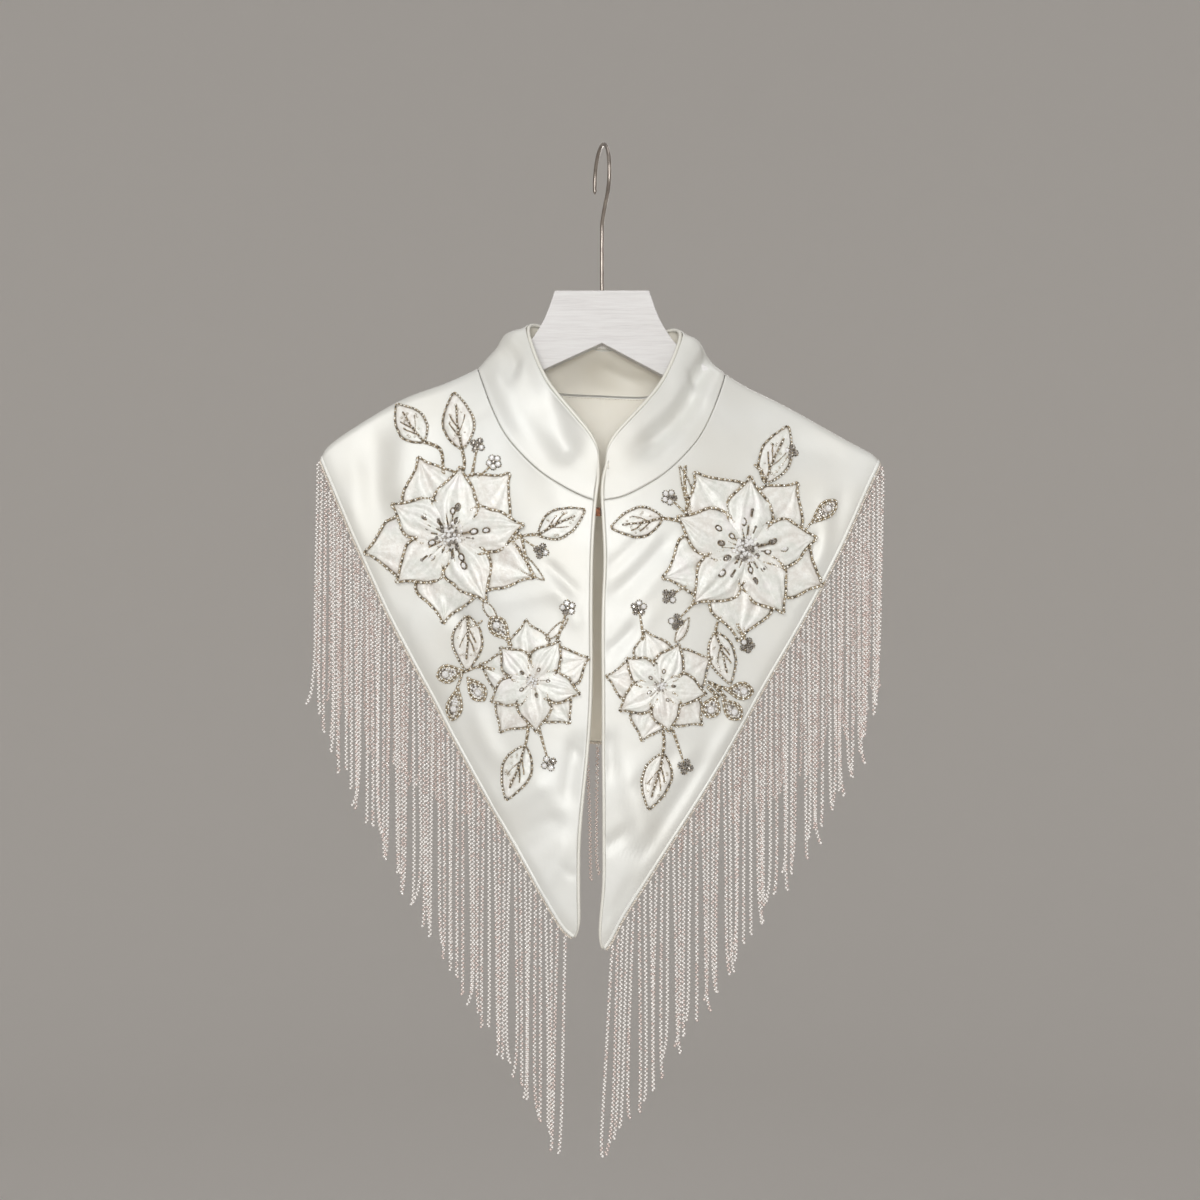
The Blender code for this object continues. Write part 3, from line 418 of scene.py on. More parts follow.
def patch(top, bottom, start, end, across, down):
    """The Coons patch of four edge curves. It is indexed by row, from top to bottom, and then by column."""
    across = np.array(across)[None, :, None]
    down = np.array(down)[:, None, None]
    ruled_down = (1 - down) * top[None] + down * bottom[None]
    ruled_across = (1 - across) * start[:, None] + across * end[:, None]
    corners = (1 - across) * ((1 - down) * top[0] + down * bottom[0])
    corners = corners + across * ((1 - down) * top[-1] + down * bottom[-1])
    return ruled_down + ruled_across - corners


def resample(grid, axis, starts, ends, count):
    """The same surface, with lines at set distances from both ends of an axis and even ones between."""
    lines = np.moveaxis(grid, axis, 0)
    walked = length_along(lines)
    made = []
    for j in range(lines.shape[1]):
        total = walked[-1, j]
        squeeze = min(1.0, total / (3 * (starts[-1] + ends[-1])))
        first = np.array(starts) * squeeze
        last = total - np.array(ends)[::-1] * squeeze
        middle = np.linspace(first[-1], last[0], count + 2)[1:-1]
        made.append(between(np.concatenate([first, middle, last]), walked[:, j], lines[:, j]))
    return np.moveaxis(np.stack(made, axis=1), 0, axis)


def unit(vectors):
    return vectors / np.maximum(np.linalg.norm(vectors, axis=-1, keepdims=True), LEAST_LENGTH)


# From one shoulder's tip to the other's.
SHOULDER_LINE = np.vstack([
    along(SHOULDER["left"], np.linspace(1, 0, 40)),
    [VIRTUAL_NECK],
    along(SHOULDER["right"], np.linspace(0, 1, 40)),
])


def below_shoulder(flat):
    """How far each flat point lies under the shoulder line."""
    return np.interp(flat[..., 0], SHOULDER_LINE[:, 0], SHOULDER_LINE[:, 1]) - flat[..., 1]


def set_on(flat, sign, bulge, reach):
    """The flat points on the front (sign -1) or the back (sign 1), which bulge out below the shoulder."""
    x, z = flat[..., 0], flat[..., 1]
    under = np.maximum(below_shoulder(flat), 0.0) * SHOULDER_COS
    rounding = 1 - np.minimum(under / SHOULDER_ROUND, 1.0)
    rounded = SHOULDER_ROUND * np.sqrt(1 - rounding**2)
    sideways = 1 / (1 + (np.abs(x) / BULGE_HALF_WIDTH) ** 3)
    low = np.clip((TAPER_FROM - z) / TAPER_LENGTH, 0, 1)
    pushed = bulge * (1 - np.exp(-under / reach)) * sideways * (1 - HEM_TAPER * low)
    return np.stack([x, sign * (CAP_HALF + rounded + pushed), z], axis=-1)


def on_front(flat):
    return set_on(flat, -1, FRONT_BULGE, FRONT_BULGE_REACH)


def on_back(flat):
    return set_on(flat, 1, BACK_BULGE, BACK_BULGE_REACH)


def inner_side(grid):
    """Unit vectors towards the inside of the cloth, at each point of a grid."""
    normals = unit(np.cross(np.gradient(grid, axis=1), np.gradient(grid, axis=0)))
    middle = np.array([0.0, 0.0, grid[..., 2].mean()])
    side = np.sum(normals * (grid - middle), axis=-1).mean()
    return -normals if side > 0 else normals


def away_from(edge, inside, normals):
    """Unit vectors that lead out of a sheet at its edge, in its surface and square to the edge."""
    square = np.cross(np.gradient(edge, axis=0), normals)
    return unit(square * np.sign(np.sum(square * (edge - inside))))


def collar_rows(side):
    """COLLAR_HALF for either side. The right one is mirrored, a little wider and lower."""
    rows = np.array(COLLAR_HALF)
    if side == "left":
        return rows
    nearness = 1 - np.abs(np.arange(len(rows)) - SIDE_STATION) / SIDE_STATION
    rows[:, 0] *= -1
    rows[0, 0] = FRONT_EDGE["right"][0][0]
    rows[SIDE_STATION, 0] = SHOULDER["right"][0][0]
    rows[:, 1] -= RIGHT_DROP * nearness
    rows[0, 1] = FRONT_EDGE["right"][0][1]
    rows[:, 2] = -rows[:, 2] + RIGHT_SPREAD * nearness
    rows[0, 2] += RIGHT_START_Y
    rows[:, 4] -= RIGHT_DROP * nearness
    rows[-1] = COLLAR_HALF[-1]
    return rows


FLAT_ROWS = 96
UP_ROW = 5  # as far down as the CAD's second row
FRONT_PLACES = np.linspace(0, SIDE_STATION, 65)
BACK_PLACES = np.linspace(SIDE_STATION, CENTRE_STATION, 41)


def front_flat(side):
    """A front laid flat in the front view: rows from the neck to the hem, columns from the opening outwards."""
    neck = through(collar_rows(side)[: SIDE_STATION + 1, :2], FRONT_PLACES)
    across = length_along(neck) / length_along(neck)[-1]
    down = np.linspace(0, 1, FLAT_ROWS)
    hem = along(FRONT_HEM[side], across)
    return patch(neck, hem, along(FRONT_EDGE[side], down), along(SHOULDER[side], down), across, down)


def back_neck(places):
    """The back's neck seam from the left shoulder to the right one, at stations of one half."""
    left = through(collar_rows("left")[SIDE_STATION:, :2], places - SIDE_STATION)
    right = through(collar_rows("right")[SIDE_STATION:, :2], places - SIDE_STATION)
    return np.vstack([left, right[::-1][1:]])


def back_flat():
    """The back laid flat in the front view, as front_flat lays a front."""
    neck = back_neck(BACK_PLACES)
    across = length_along(neck) / length_along(neck)[-1]
    down = np.linspace(0, 1, FLAT_ROWS)
    mirrored = [(-x, z) for x, z in reversed(BACK_HEM_HALF[1:-1])]
    hem = along([*BACK_HEM_HALF, *mirrored, SHOULDER["right"][-1]], across)
    return patch(neck, hem, along(SHOULDER["left"], down), along(SHOULDER["right"], down), across, down)


FOLD_WANDER = (0.35, 2.6)  # share of a fold's width, and its turn along the fold
FOLD_REACH = 0.3  # share of its length from its middle, past which a fold fades
FOLD_FADE = 0.05


def folds(x, z, table):
    """Height of the soft folds at each point. They wander a little and fade at their ends."""
    height = np.zeros_like(x)
    for x0, z0, x1, z1, width, depth in table:
        dx, dz = x1 - x0, z1 - z0
        t = ((x - x0) * dx + (z - z0) * dz) / (dx * dx + dz * dz)
        wander = FOLD_WANDER[0] * width * np.sin(FOLD_WANDER[1] * t + x0)
        off = ((x - x0) * dz - (z - z0) * dx) / math.hypot(dx, dz) - wander
        fade = np.exp(-np.clip(np.abs(t - 0.5) - FOLD_REACH, 0, None) ** 2 / FOLD_FADE)
        height += depth * fade * np.exp(-((off / width) ** 2))
    return height


def ripple(x, z):
    """A slight unevenness of the whole cloth."""
    wave = np.sin(x / 23 + 0.8 * np.sin(z / 41)) * np.cos(z / 57 + 0.6 * np.sin(x / 37))
    return 0.38 * wave + 0.16 * np.sin(x / 9.5 + 1.3 * np.sin(z / 27))


def hem_curl(grid):
    """How far the cloth turns in near its hem."""
    from_hem = length_along(grid[::-1])[::-1]
    return HEM_CURL * np.exp(-((from_hem / HEM_CURL_WIDTH) ** 2))


def line_relief(shape, axis, at_start, at_end):
    """Heights that belong to the first and last lines of an axis."""
    relief = np.zeros(shape)
    lines = np.moveaxis(relief, axis, 0)
    for index, value in enumerate(at_start):
        lines[index] += value
    for index, value in enumerate(at_end):
        lines[-1 - index] += value
    return relief


def panel_relief(flat, grid, table, shift):
    """How far the cloth stands out: folds and ripples that fade at the shoulder, and the edges' relief."""
    relief = folds(flat[..., 0], flat[..., 1], table) + ripple(flat[..., 0] + shift, flat[..., 1])
    relief *= np.clip(below_shoulder(flat) / RELIEF_FADE, 0, 1)
    relief -= hem_curl(grid)
    return relief + line_relief(relief.shape, 0, NECK_RELIEF, HEM_RELIEF)


def front_surface(side):
    """A front's outer face, from the opening to the seam on the shoulder."""
    flat = resample(front_flat(side), 1, EDGE_LINES, RIDGE_LINES, FRONT_GRID[1])
    flat = resample(flat, 0, NECK_LINES, HEM_LINES, FRONT_GRID[0])
    grid = on_front(flat)
    grid[:, -1, 1] = -CAP_HALF
    relief = panel_relief(flat, grid, FOLDS[side], 0.0)
    relief += line_relief(relief.shape, 1, EDGE_RELIEF, ())
    grid = grid - inner_side(grid) * relief[..., None]
    return np.concatenate([grid, cap_columns(grid[:, -1], -1)], axis=1)


def cap_columns(ridge, sign):
    """Columns from the ridge over the hanger's arm to the seam on the shoulder."""
    columns = []
    for y in CAP_STEPS:
        column = ridge.copy()
        column[:, 1] = sign * y
        column[:, 2] += CAP_CROWN * (1 - (y / CAP_HALF) ** 2)
        columns.append(column)
    columns[-1][:, 2] -= CAP_SEAM_DIP
    return np.stack(columns, axis=1)


def back_surface():
    """The back's outer face, from the seam on the left shoulder to the one on the right."""
    flat = resample(back_flat(), 1, RIDGE_LINES, RIDGE_LINES, BACK_GRID[1])
    flat = resample(flat, 0, NECK_LINES, HEM_LINES, BACK_GRID[0])
    grid = on_back(flat)
    grid[:, (0, -1), 1] = CAP_HALF
    relief = panel_relief(flat, grid, FOLDS["back"], BACK_RIPPLE_SHIFT)
    grid = grid - inner_side(grid) * relief[..., None]
    left = cap_columns(grid[:, 0], 1)[:, ::-1]
    return np.concatenate([left, grid, cap_columns(grid[:, -1], 1)], axis=1)


def collar_half(side):
    """Seam point, direction up from the panel, free edge and CAD column of each station of one half."""
    rows = collar_rows(side)
    flat = front_flat(side)
    front, below = on_front(flat[0]), on_front(flat[UP_ROW])
    front[-1, 1] = below[-1, 1] = -CAP_HALF
    back_all = back_flat()
    middle = back_all.shape[1] // 2
    back_half = back_all[:, : middle + 1] if side == "left" else back_all[:, middle:][:, ::-1]
    back, back_below = on_back(back_half[0]), on_back(back_half[UP_ROW])
    back[0, 1] = back_below[0, 1] = CAP_HALF
    count = len(CAP_PLACES)
    cap = np.repeat(front[-1:], count, axis=0)
    cap[:, 1] = CAP_PLACES
    cap[:, 2] += CAP_CROWN * (1 - (cap[:, 1] / CAP_HALF) ** 2)
    seam = np.vstack([front, cap, back])
    up_cap = np.repeat(front[-1:] - below[-1:], count, axis=0)
    upward = unit(np.vstack([front - below, up_cap, back - back_below]))
    stations = np.concatenate([FRONT_PLACES, SIDE_STATION + np.array(CAP_STATIONS), BACK_PLACES])
    stations[len(FRONT_PLACES) - 1] -= CAP_MARGIN
    stations[len(FRONT_PLACES) + count] += CAP_MARGIN
    edge = through(rows[:, 2:], stations)
    band = unit(edge - seam)
    steer = np.exp(-(((stations - SIDE_STATION) / SIDE_STEER) ** 2))[:, None]
    upward = unit(upward * (1 - steer) + band * steer)
    edge = edge - band * (2 * PIPING_RADIUS + GAP)
    column = np.interp(stations, CAD_STATIONS, np.linspace(0, 0.5, len(CAD_STATIONS)))
    return seam, upward, edge, column[:, None]


def mended(normals):
    """The same normals, with those of the four corners taken from the next line in."""
    normals[-1, 0], normals[-1, -1] = normals[-2, 1], normals[-2, -2]
    normals[0, 0], normals[0, -1] = normals[1, 1], normals[1, -2]
    return normals


def collar_surface():
    """The collar band: a smooth sheet from the seam to the free edge, with a trough, a bow and folds."""
    left, right = collar_half("left"), collar_half("right")
    seam, upward, edge = (np.vstack([a, b[::-1][1:]]) for a, b in zip(left[:3], right[:3]))
    column = np.concatenate([left[3], 1 - right[3][::-1][1:]])[:, 0]
    start = seam + upward * GAP
    reach = np.linalg.norm(edge - start, axis=1, keepdims=True)
    rows = []
    for s in COLLAR_SHARES:
        from_start = (2 * s**3 - 3 * s**2 + 1) * start + (s**3 - 2 * s**2 + s) * upward * reach
        to_edge = (3 * s**2 - 2 * s**3) * edge + (s**3 - s**2) * (edge - start)
        rows.append(from_start + to_edge)
    grid = np.array(rows)
    s = COLLAR_SHARES[:, None]
    c = column[None, :]
    fold = np.sin(np.pi * np.clip(np.abs(c - 0.5) * 2, 0, 1)) ** 1.5
    wander = 0.03 * np.sin(14 * c) + 0.02 * np.sin(31 * c + 1)
    trough = TROUGH_DEPTH * fold * np.exp(-(((s - TROUGH_ROW - wander) / TROUGH_WIDTH) ** 2))
    height = np.where(c < 0.5, BOW_DEPTH["left"], BOW_DEPTH["right"])
    around = np.exp(-(((np.abs(2 * c - 1) - BOW_PLACE) / BOW_SPREAD) ** 2))
    bow = height * around * np.sin(np.pi * s**1.3) ** 2
    waves = 0.45 * np.sin(29 * c + 3 * s) * np.sin(np.pi * s) + 0.3 * np.sin(60 * c + 5 * s) * s * (1 - s)
    across = length_along(grid[len(grid) // 2])
    run = np.broadcast_to(across, grid.shape[:2])
    rise = s * reach[:, 0][None, :]
    placed = []
    for c0, s0, c1, s1, width, depth in COLLAR_FOLDS:
        ends = []
        for place, share in ((c0, s0), (c1, s1)):
            ends += [np.interp(place, column, across), share * np.interp(place, column, reach[:, 0])]
        placed.append((*ends, width, depth))
    waves = waves + folds(run, rise, placed) * np.sin(np.pi * np.clip(s * 1.02, 0, 1)) ** 0.5
    grid = grid + (trough - bow - waves)[..., None] * mended(inner_side(grid))
    grid = resample(grid, 0, NECK_LINES, EDGE_LINES, COLLAR_GRID_ROWS)
    relief = line_relief(grid.shape[:2], 0, NECK_RELIEF, EDGE_RELIEF)
    return grid - mended(inner_side(grid)) * relief[..., None]


# ---- meshes


def link(made, name_slot, *replaced):
    """Puts a piece in the scene: it rides on the one body and may stand for CAD nodes. Its name_slot is not
    used.
    """
    bpy.context.scene.collection.objects.link(made)
    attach(made, "root")
    if replaced:
        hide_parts(*replaced)
    return made


def fast_mesh(name, verts, faces, material_index, smooth=True):
    """A mesh of triangles or quads from arrays, in millimetres."""
    mesh = bpy.data.meshes.new(name)
    sides = faces.shape[1]
    mesh.vertices.add(len(verts))
    mesh.vertices.foreach_set("co", (np.asarray(verts, np.float64) * MM).astype(np.float32).ravel())
    mesh.loops.add(faces.size)
    mesh.loops.foreach_set("vertex_index", faces.astype(np.int32).ravel())
    mesh.polygons.add(len(faces))
    mesh.polygons.foreach_set("loop_start", np.arange(0, faces.size, sides, dtype=np.int32))
    mesh.polygons.foreach_set("use_smooth", np.full(len(faces), smooth, dtype=bool))
    mesh.polygons.foreach_set("material_index", material_index.astype(np.int32))
    mesh.update(calc_edges=True)
    mesh.validate()
    return mesh


def dressed(mesh, *materials):
    """An object of the mesh's own name, with its materials."""
    for material in materials:
        mesh.materials.append(material)
    return bpy.data.objects.new(mesh.name, mesh)


def thicken(made, wall):
    """Gives a surface a wall behind it."""
    solidify = made.modifiers.new("Wall", "SOLIDIFY")
    solidify.thickness = wall * MM
    solidify.offset = -1
    return solidify


def grid_faces(rows, columns):
    index = np.arange(rows * columns).reshape(rows, columns)
    quads = np.stack([index[:-1, :-1], index[:-1, 1:], index[1:, 1:], index[1:, :-1]], axis=-1)
    return quads.reshape(-1, 4)


def add_shell(name, grid, wall, flip):
    """A cloth shell: the grid is its outer face of satin, and its inner face is lining."""
    faces = grid_faces(*grid.shape[:2])
    if flip:
        faces = faces[:, ::-1]
    made = dressed(fast_mesh(name, grid.reshape(-1, 3), faces, np.zeros(len(faces))), SATIN, LINING)
    solidify = thicken(made, wall)
    solidify.use_even_offset = True
    solidify.material_offset = 1
    return made


def ring_faces(rings, sides):
    """Quads between rings of points, each of which is closed."""
    faces = []
    for i in range(rings - 1):
        for j in range(sides):
            k = (j + 1) % sides
            faces.append((i * sides + j, i * sides + k, (i + 1) * sides + k, (i + 1) * sides + j))
    return faces


def tube_mesh(name, points, radius, sides):
    """A round tube along the points, with closed ends. The radius is one number, or one for each point."""
    points = np.array(points, float)
    radius = np.broadcast_to(radius, len(points))
    tangents = unit(np.gradient(points, axis=0))
    across = np.cross(tangents[0], (0.0, 1.0, 0.0))
    if np.linalg.norm(across) < 0.2:
        across = np.cross(tangents[0], (1.0, 0.0, 0.0))
    verts = []
    angles = np.linspace(0, 2 * np.pi, sides, endpoint=False)
    for point, tangent, size in zip(points, tangents, radius):
        across = across - tangent * np.dot(across, tangent)
        across = across / np.linalg.norm(across)
        other = np.cross(tangent, across)
        verts.append(point + size * (np.cos(angles)[:, None] * across + np.sin(angles)[:, None] * other))
    faces = ring_faces(len(points), sides)
    hub = len(points) * sides
    for start, centre, turn in ((0, points[0], -1), (hub - sides, points[-1], 1)):
        verts.append([centre])
        faces += [(hub, start + j, start + (j + 1) % sides)[::turn] for j in range(sides)]
        hub += 1
    mesh = bpy.data.meshes.new(name)
    mesh.from_pydata([tuple(v * MM) for v in np.concatenate(verts)], [], faces)
    mesh.shade_smooth()
    return mesh


def sphere_template():
    ball = bmesh.new()
    bmesh.ops.create_icosphere(ball, subdivisions=1, radius=1.0)
    verts = np.array([v.co[:] for v in ball.verts])
    faces = np.array([[v.index for v in f.verts] for f in ball.faces])
    ball.free()
    return verts, faces


BALL_VERTS, BALL_FACES = sphere_template()
BALL_TURN = 2.4  # from each bead to the next, in radians, so that their facets differ


def add_beads(name, centres, sizes, kinds, materials):
    """Beads at the centres. sizes holds the half sizes in x, y and z of each, and kinds its material."""
    centres, sizes = np.asarray(centres), np.asarray(sizes)
    steps = np.arange(len(centres))[:, None]
    cos, sin = np.cos(steps * BALL_TURN), np.sin(steps * BALL_TURN)
    x, y, z = BALL_VERTS.T
    spun = np.stack([x * cos - y * sin, x * sin + y * cos, np.broadcast_to(z, (len(centres), len(z)))], axis=-1)
    verts = (centres[:, None] + spun * sizes[:, None]).reshape(-1, 3)
    faces = (BALL_FACES + steps[:, :, None] * len(BALL_VERTS)).reshape(-1, 3)
    return dressed(fast_mesh(name, verts, faces, np.repeat(np.asarray(kinds), len(BALL_FACES))), *materials)


def join(parts):
    """One mesh out of (verts, faces of one size, material index) parts."""
    verts, faces, kinds, offset = [], [], [], 0
    for part_verts, part_faces, kind in parts:
        verts.append(part_verts)
        faces.append(part_faces + offset)
        kinds.append(np.full(len(part_faces), kind))
        offset += len(part_verts)
    return np.concatenate(verts), np.concatenate(faces), np.concatenate(kinds)


# ---- materials


def linear(*srgb):
    """An sRGB colour of 0 to 255 as linear values, by the standard's own formula."""
    shares = [value / 255 for value in srgb]
    return (*(v / 12.92 if v <= 0.04045 else ((v + 0.055) / 1.055) ** 2.4 for v in shares), 1.0)


def stops(*rows):
    """Stops of a colour ramp. Each row has a place and the three values of an sRGB colour."""
    return [(row[0], linear(*row[1:])) for row in rows]


class Material:
    """A Principled material with helpers for its procedural detail."""

    def __init__(self, name, roughness, metallic=0.0, **sockets):
        self.material = bpy.data.materials.new(name)
        self.material.use_nodes = True
        self.tree = self.material.node_tree
        self.shader = self.tree.nodes["Principled BSDF"]
        self.shader.inputs["Roughness"].default_value = roughness
        self.shader.inputs["Metallic"].default_value = metallic
        for key, value in sockets.items():
            self.feed(self.shader.inputs[key.replace("_", " ")], value)
        self.place = self.tree.nodes.new("ShaderNodeTexCoord").outputs["Object"]
        self.height = None

    def feed(self, socket, value):
        """Links another node's output to a socket, or sets the socket to a value."""
        if isinstance(value, bpy.types.NodeSocket):
            self.tree.links.new(value, socket)
        else:
            socket.default_value = value

    def node(self, kind, **inputs):
        made = self.tree.nodes.new(kind)
        for key, value in inputs.items():
            self.feed(made.inputs[key.replace("_", " ")], value)
        return made

    def stretched(self, x, y, z, turn=(0, 0, 0)):
        mapping = self.node("ShaderNodeMapping", Vector=self.place, Scale=(x, y, z))
        mapping.inputs["Rotation"].default_value = turn
        return mapping.outputs["Vector"]

    def noise(self, place, scale, detail=3.0, roughness=0.5):
        made = self.node("ShaderNodeTexNoise", Vector=place, Scale=scale, Detail=detail, Roughness=roughness)
        return made.outputs["Fac"]

    def ramp(self, value, rows):
        made = self.node("ShaderNodeValToRGB", Fac=value)
        elements = made.color_ramp.elements
        while len(elements) < len(rows):
            elements.new(0.5)
        for element, (position, colour) in zip(elements, rows):
            element.position = position
            element.color = colour
        return made.outputs["Color"]

    def math(self, operation, first, second):
        made = self.tree.nodes.new("ShaderNodeMath")
        made.operation = operation
        for socket, value in zip(made.inputs, (first, second)):
            self.feed(socket, value)
        return made.outputs["Value"]

    def mix(self, factor, first, second, blend="MIX"):
        made = self.tree.nodes.new("ShaderNodeMix")
        made.data_type = "RGBA"
        made.blend_type = blend
        for index, value in zip((0, 6, 7), (factor, first, second)):  # its factor, A and B for colours
            self.feed(made.inputs[index], value)
        return made.outputs[2]

    def colour(self, value):
        self.feed(self.shader.inputs["Base Color"], value)

    def rough(self, value):
        self.feed(self.shader.inputs["Roughness"], value)

    def bump(self, height, strength, distance):
        made = self.node("ShaderNodeBump", Height=height, Strength=strength, Distance=distance)
        if self.height is not None:
            self.tree.links.new(self.height, made.inputs["Normal"])
        self.height = made.outputs["Normal"]
        self.tree.links.new(self.height, self.shader.inputs["Normal"])


def satin_material(name, bright, shade):
    """Duchess satin: fine warp lines, a soft broad sheen and slight unevenness."""
    m = Material(name, 0.5, 0.2, Sheen_Weight=0.05, Sheen_Roughness=0.3, Sheen_Tint=linear(255, 250, 240),
                 Specular_IOR_Level=0.6, Anisotropic=0.3)
    m.colour(m.ramp(m.noise(m.place, 14.0, 2.0), stops((0.3, *shade), (0.7, *bright))))
    warp = m.noise(m.stretched(2600.0, 2600.0, 160.0), 1.0, 2.0)
    weft = m.noise(m.stretched(260.0, 260.0, 2400.0), 1.0, 2.0)
    m.rough(m.math("ADD", m.math("MULTIPLY", warp, 0.12), 0.42))
    m.bump(m.noise(m.place, 34.0, 2.0), 0.35, 0.0012)
    m.bump(m.math("ADD", warp, weft), 0.22, 0.00012)
    return m.material


def lining_material():
    """Plain-woven cream lining, matter than the satin."""
    m = Material("lining", 0.6, Sheen_Weight=0.1)
    m.colour(m.ramp(m.noise(m.place, 20.0), stops((0.3, 246, 241, 227), (0.7, 251, 248, 238))))
    warp = m.noise(m.stretched(2200.0, 2200.0, 300.0), 1.0)
    weft = m.noise(m.stretched(300.0, 300.0, 2200.0), 1.0)
    m.bump(m.noise(m.place, 40.0, 2.0), 0.4, 0.0012)
    m.bump(m.math("ADD", warp, weft), 0.3, 0.00015)
    return m.material


def organza_material():
    """Pearly organza: crinkled, faintly rosy, greenish or white, with painted shade where petals lie close."""
    m = Material("organza", 0.4, 0.06, Sheen_Weight=0.15, Coat_Weight=0.12, Coat_Roughness=0.35,
                 Specular_IOR_Level=0.6)
    tints = stops((0.3, 225, 219, 212), (0.46, 235, 233, 226), (0.58, 228, 230, 223), (0.72, 240, 237, 234))
    tint = m.ramp(m.noise(m.place, 38.0, 2.0, 0.6), tints)
    streak = m.ramp(m.noise(m.place, 210.0, 4.0, 0.7), ((0.42, (0, 0, 0, 1)), (0.66, (0.8, 0.8, 0.8, 1))))
    cloth_colour = m.mix(streak, tint, linear(252, 252, 248))
    # Painted shade: ambient occlusion darkens the colour where petals overlap and crowd together.
    near = m.node("ShaderNodeAmbientOcclusion", Distance=0.006).outputs["AO"]
    shade = m.ramp(near, stops((0.25, 196, 184, 172), (0.85, 255, 255, 255)))
    m.colour(m.mix(1.0, cloth_colour, shade, "MULTIPLY"))
    m.bump(m.noise(m.place, 150.0, 4.0, 0.65), 0.6, 0.0012)
    m.bump(m.noise(m.place, 1500.0, 1.0), 0.2, 0.0001)
    return m.material


def bead_material(name, dark, light, roughness, metallic, coat, rim=(255, 255, 255)):
    """Glass beads: their colour changes a little from bead to bead, and painted shade darkens each bead towards
    its rim.
    """
    m = Material(name, roughness, metallic, Coat_Weight=coat, Coat_Roughness=0.08)
    tint = m.ramp(m.noise(m.place, 420.0, 1.0), stops((0.35, *dark), (0.65, *light)))
    # Painted shade: the colour is multiplied by the rim colour as the bead's face turns away from view.
    rim_shade_mask = m.node("ShaderNodeLayerWeight", Blend=0.5).outputs["Facing"]
    m.colour(m.mix(1.0, tint, m.ramp(rim_shade_mask, stops((0.14, 255, 255, 255), (0.62, *rim))), "MULTIPLY"))
    m.bump(m.noise(m.place, 900.0, 1.0), 0.2, 0.0002)
    return m.material


def stone_material(name, dark, light, metallic, roughness):
    """Cut stones, lighter and darker from one to the next."""
    m = Material(name, roughness, metallic, Coat_Weight=0.6, Coat_Roughness=0.03, Specular_IOR_Level=0.8)
    m.colour(m.ramp(m.noise(m.place, 700.0, 1.0), stops((0.38, *dark), (0.62, *light))))
    return m.material


WOOD_TILT = math.radians(28)  # of the grain


def wood_material():
    """White-washed wood: grain that runs along the hanger and shows faintly through the paint."""
    m = Material("wood", 0.58, Specular_IOR_Level=0.35)
    tilt = (0, WOOD_TILT, 0)
    grain = m.noise(m.stretched(34.0, 90.0, 620.0, tilt), 1.0, 4.0, 0.7)
    broad = m.noise(m.stretched(5.0, 30.0, 60.0, tilt), 1.0, 2.0)
    mixed = m.math("ADD", m.math("MULTIPLY", grain, 0.7), m.math("MULTIPLY", broad, 0.3))
    m.colour(m.ramp(mixed, stops((0.34, 210, 208, 207), (0.47, 223, 221, 220), (0.62, 230, 229, 228))))
    pores = m.noise(m.stretched(50.0, 500.0, 1700.0, tilt), 1.0, 2.0)
    m.bump(grain, 0.25, 0.0004)
    m.bump(pores, 0.3, 0.0002)
    m.rough(m.math("ADD", m.math("MULTIPLY", grain, 0.25), 0.45))
    return m.material


def wire_material():
    """Warm nickel wire with fine drawn lines."""
    m = Material("wire", 0.3, 1.0)
    blotch = m.noise(m.stretched(90.0, 90.0, 90.0), 1.0)
    m.colour(m.ramp(blotch, stops((0.3, 150, 141, 134), (0.7, 190, 181, 172))))
    m.bump(m.noise(m.stretched(3000.0, 3000.0, 120.0), 1.0), 0.2, 0.00008)
    return m.material


SATIN = satin_material("satin", (232, 233, 229), (226, 225, 218))
PIPING = satin_material("piping_satin", (239, 238, 230), (231, 229, 219))
LINING = lining_material()
ORGANZA = organza_material()
# Columns: name, dark and light colour, roughness, metal, coat, colour that the rim is multiplied by as painted
# shade.
PEARL_BEAD = bead_material("pearl_bead", (255, 253, 251), (255, 255, 254), 0.18, 0.0, 0.6, (240, 229, 219))
ROSE_BEAD = bead_material("rose_bead", (242, 226, 219), (252, 242, 237), 0.18, 0.0, 0.6, (190, 164, 155))
SILVER_BEAD = bead_material("silver_bead", (234, 228, 215), (255, 254, 248), 0.16, 0.2, 0.5, (166, 153, 130))
TAUPE_BEAD = bead_material("taupe_bead", (162, 144, 114), (216, 200, 170), 0.22, 0.35, 0.4, (142, 126, 99))
DARK_BEAD = bead_material("dark_bead", (88, 76, 58), (148, 131, 106), 0.2, 0.5, 0.4, (122, 110, 93))
CREAM_THREAD = bead_material("cream_thread", (214, 204, 190), (240, 233, 222), 0.5, 0.0, 0.0)
BRONZE = bead_material("bronze", (40, 22, 14), (92, 58, 38), 0.35, 0.9, 0.0)
CLEAR_STONE = stone_material("clear_stone_cut", (234, 233, 231), (255, 255, 255), 0.1, 0.06)
DARK_STONE = stone_material("smoky_stone_cut", (104, 96, 88), (200, 194, 186), 0.5, 0.06)
WOOD = wood_material()
WIRE = wire_material()

# ---- cloth

surfaces = {side: front_surface(side) for side in ("left", "right")}
back_grid = back_surface()
collar_grid = collar_surface()

for part, node, grid, wall, flip in (
    ("left", "front_left", surfaces["left"], PANEL_WALL, False),
    ("right", "front_right", surfaces["right"], PANEL_WALL, True),
    ("back", "back", back_grid, PANEL_WALL, False),
    ("collar", "collar", collar_grid, COLLAR_WALL, True),
):
    link(add_shell("satin_" + node, grid, wall, flip), "ivory_satin", node)

# ---- piping

PIPING_OUT = 0.2  # between the piping and the cloth's edge
PIPING_FORWARD = 0.35  # ahead of the middle of the cloth's wall
PIPING_PITCH = 2.2
PIPING_PASSES = 7  # of smoothing
PIPING_SKIP = 4  # rows of the collar at each end of its front edges, where the route cuts the corner
PIPING_SIDES = 14
PIPING_TAPER = (0.55, 3)  # the share of its radius at its tips, and over how many points the rest comes


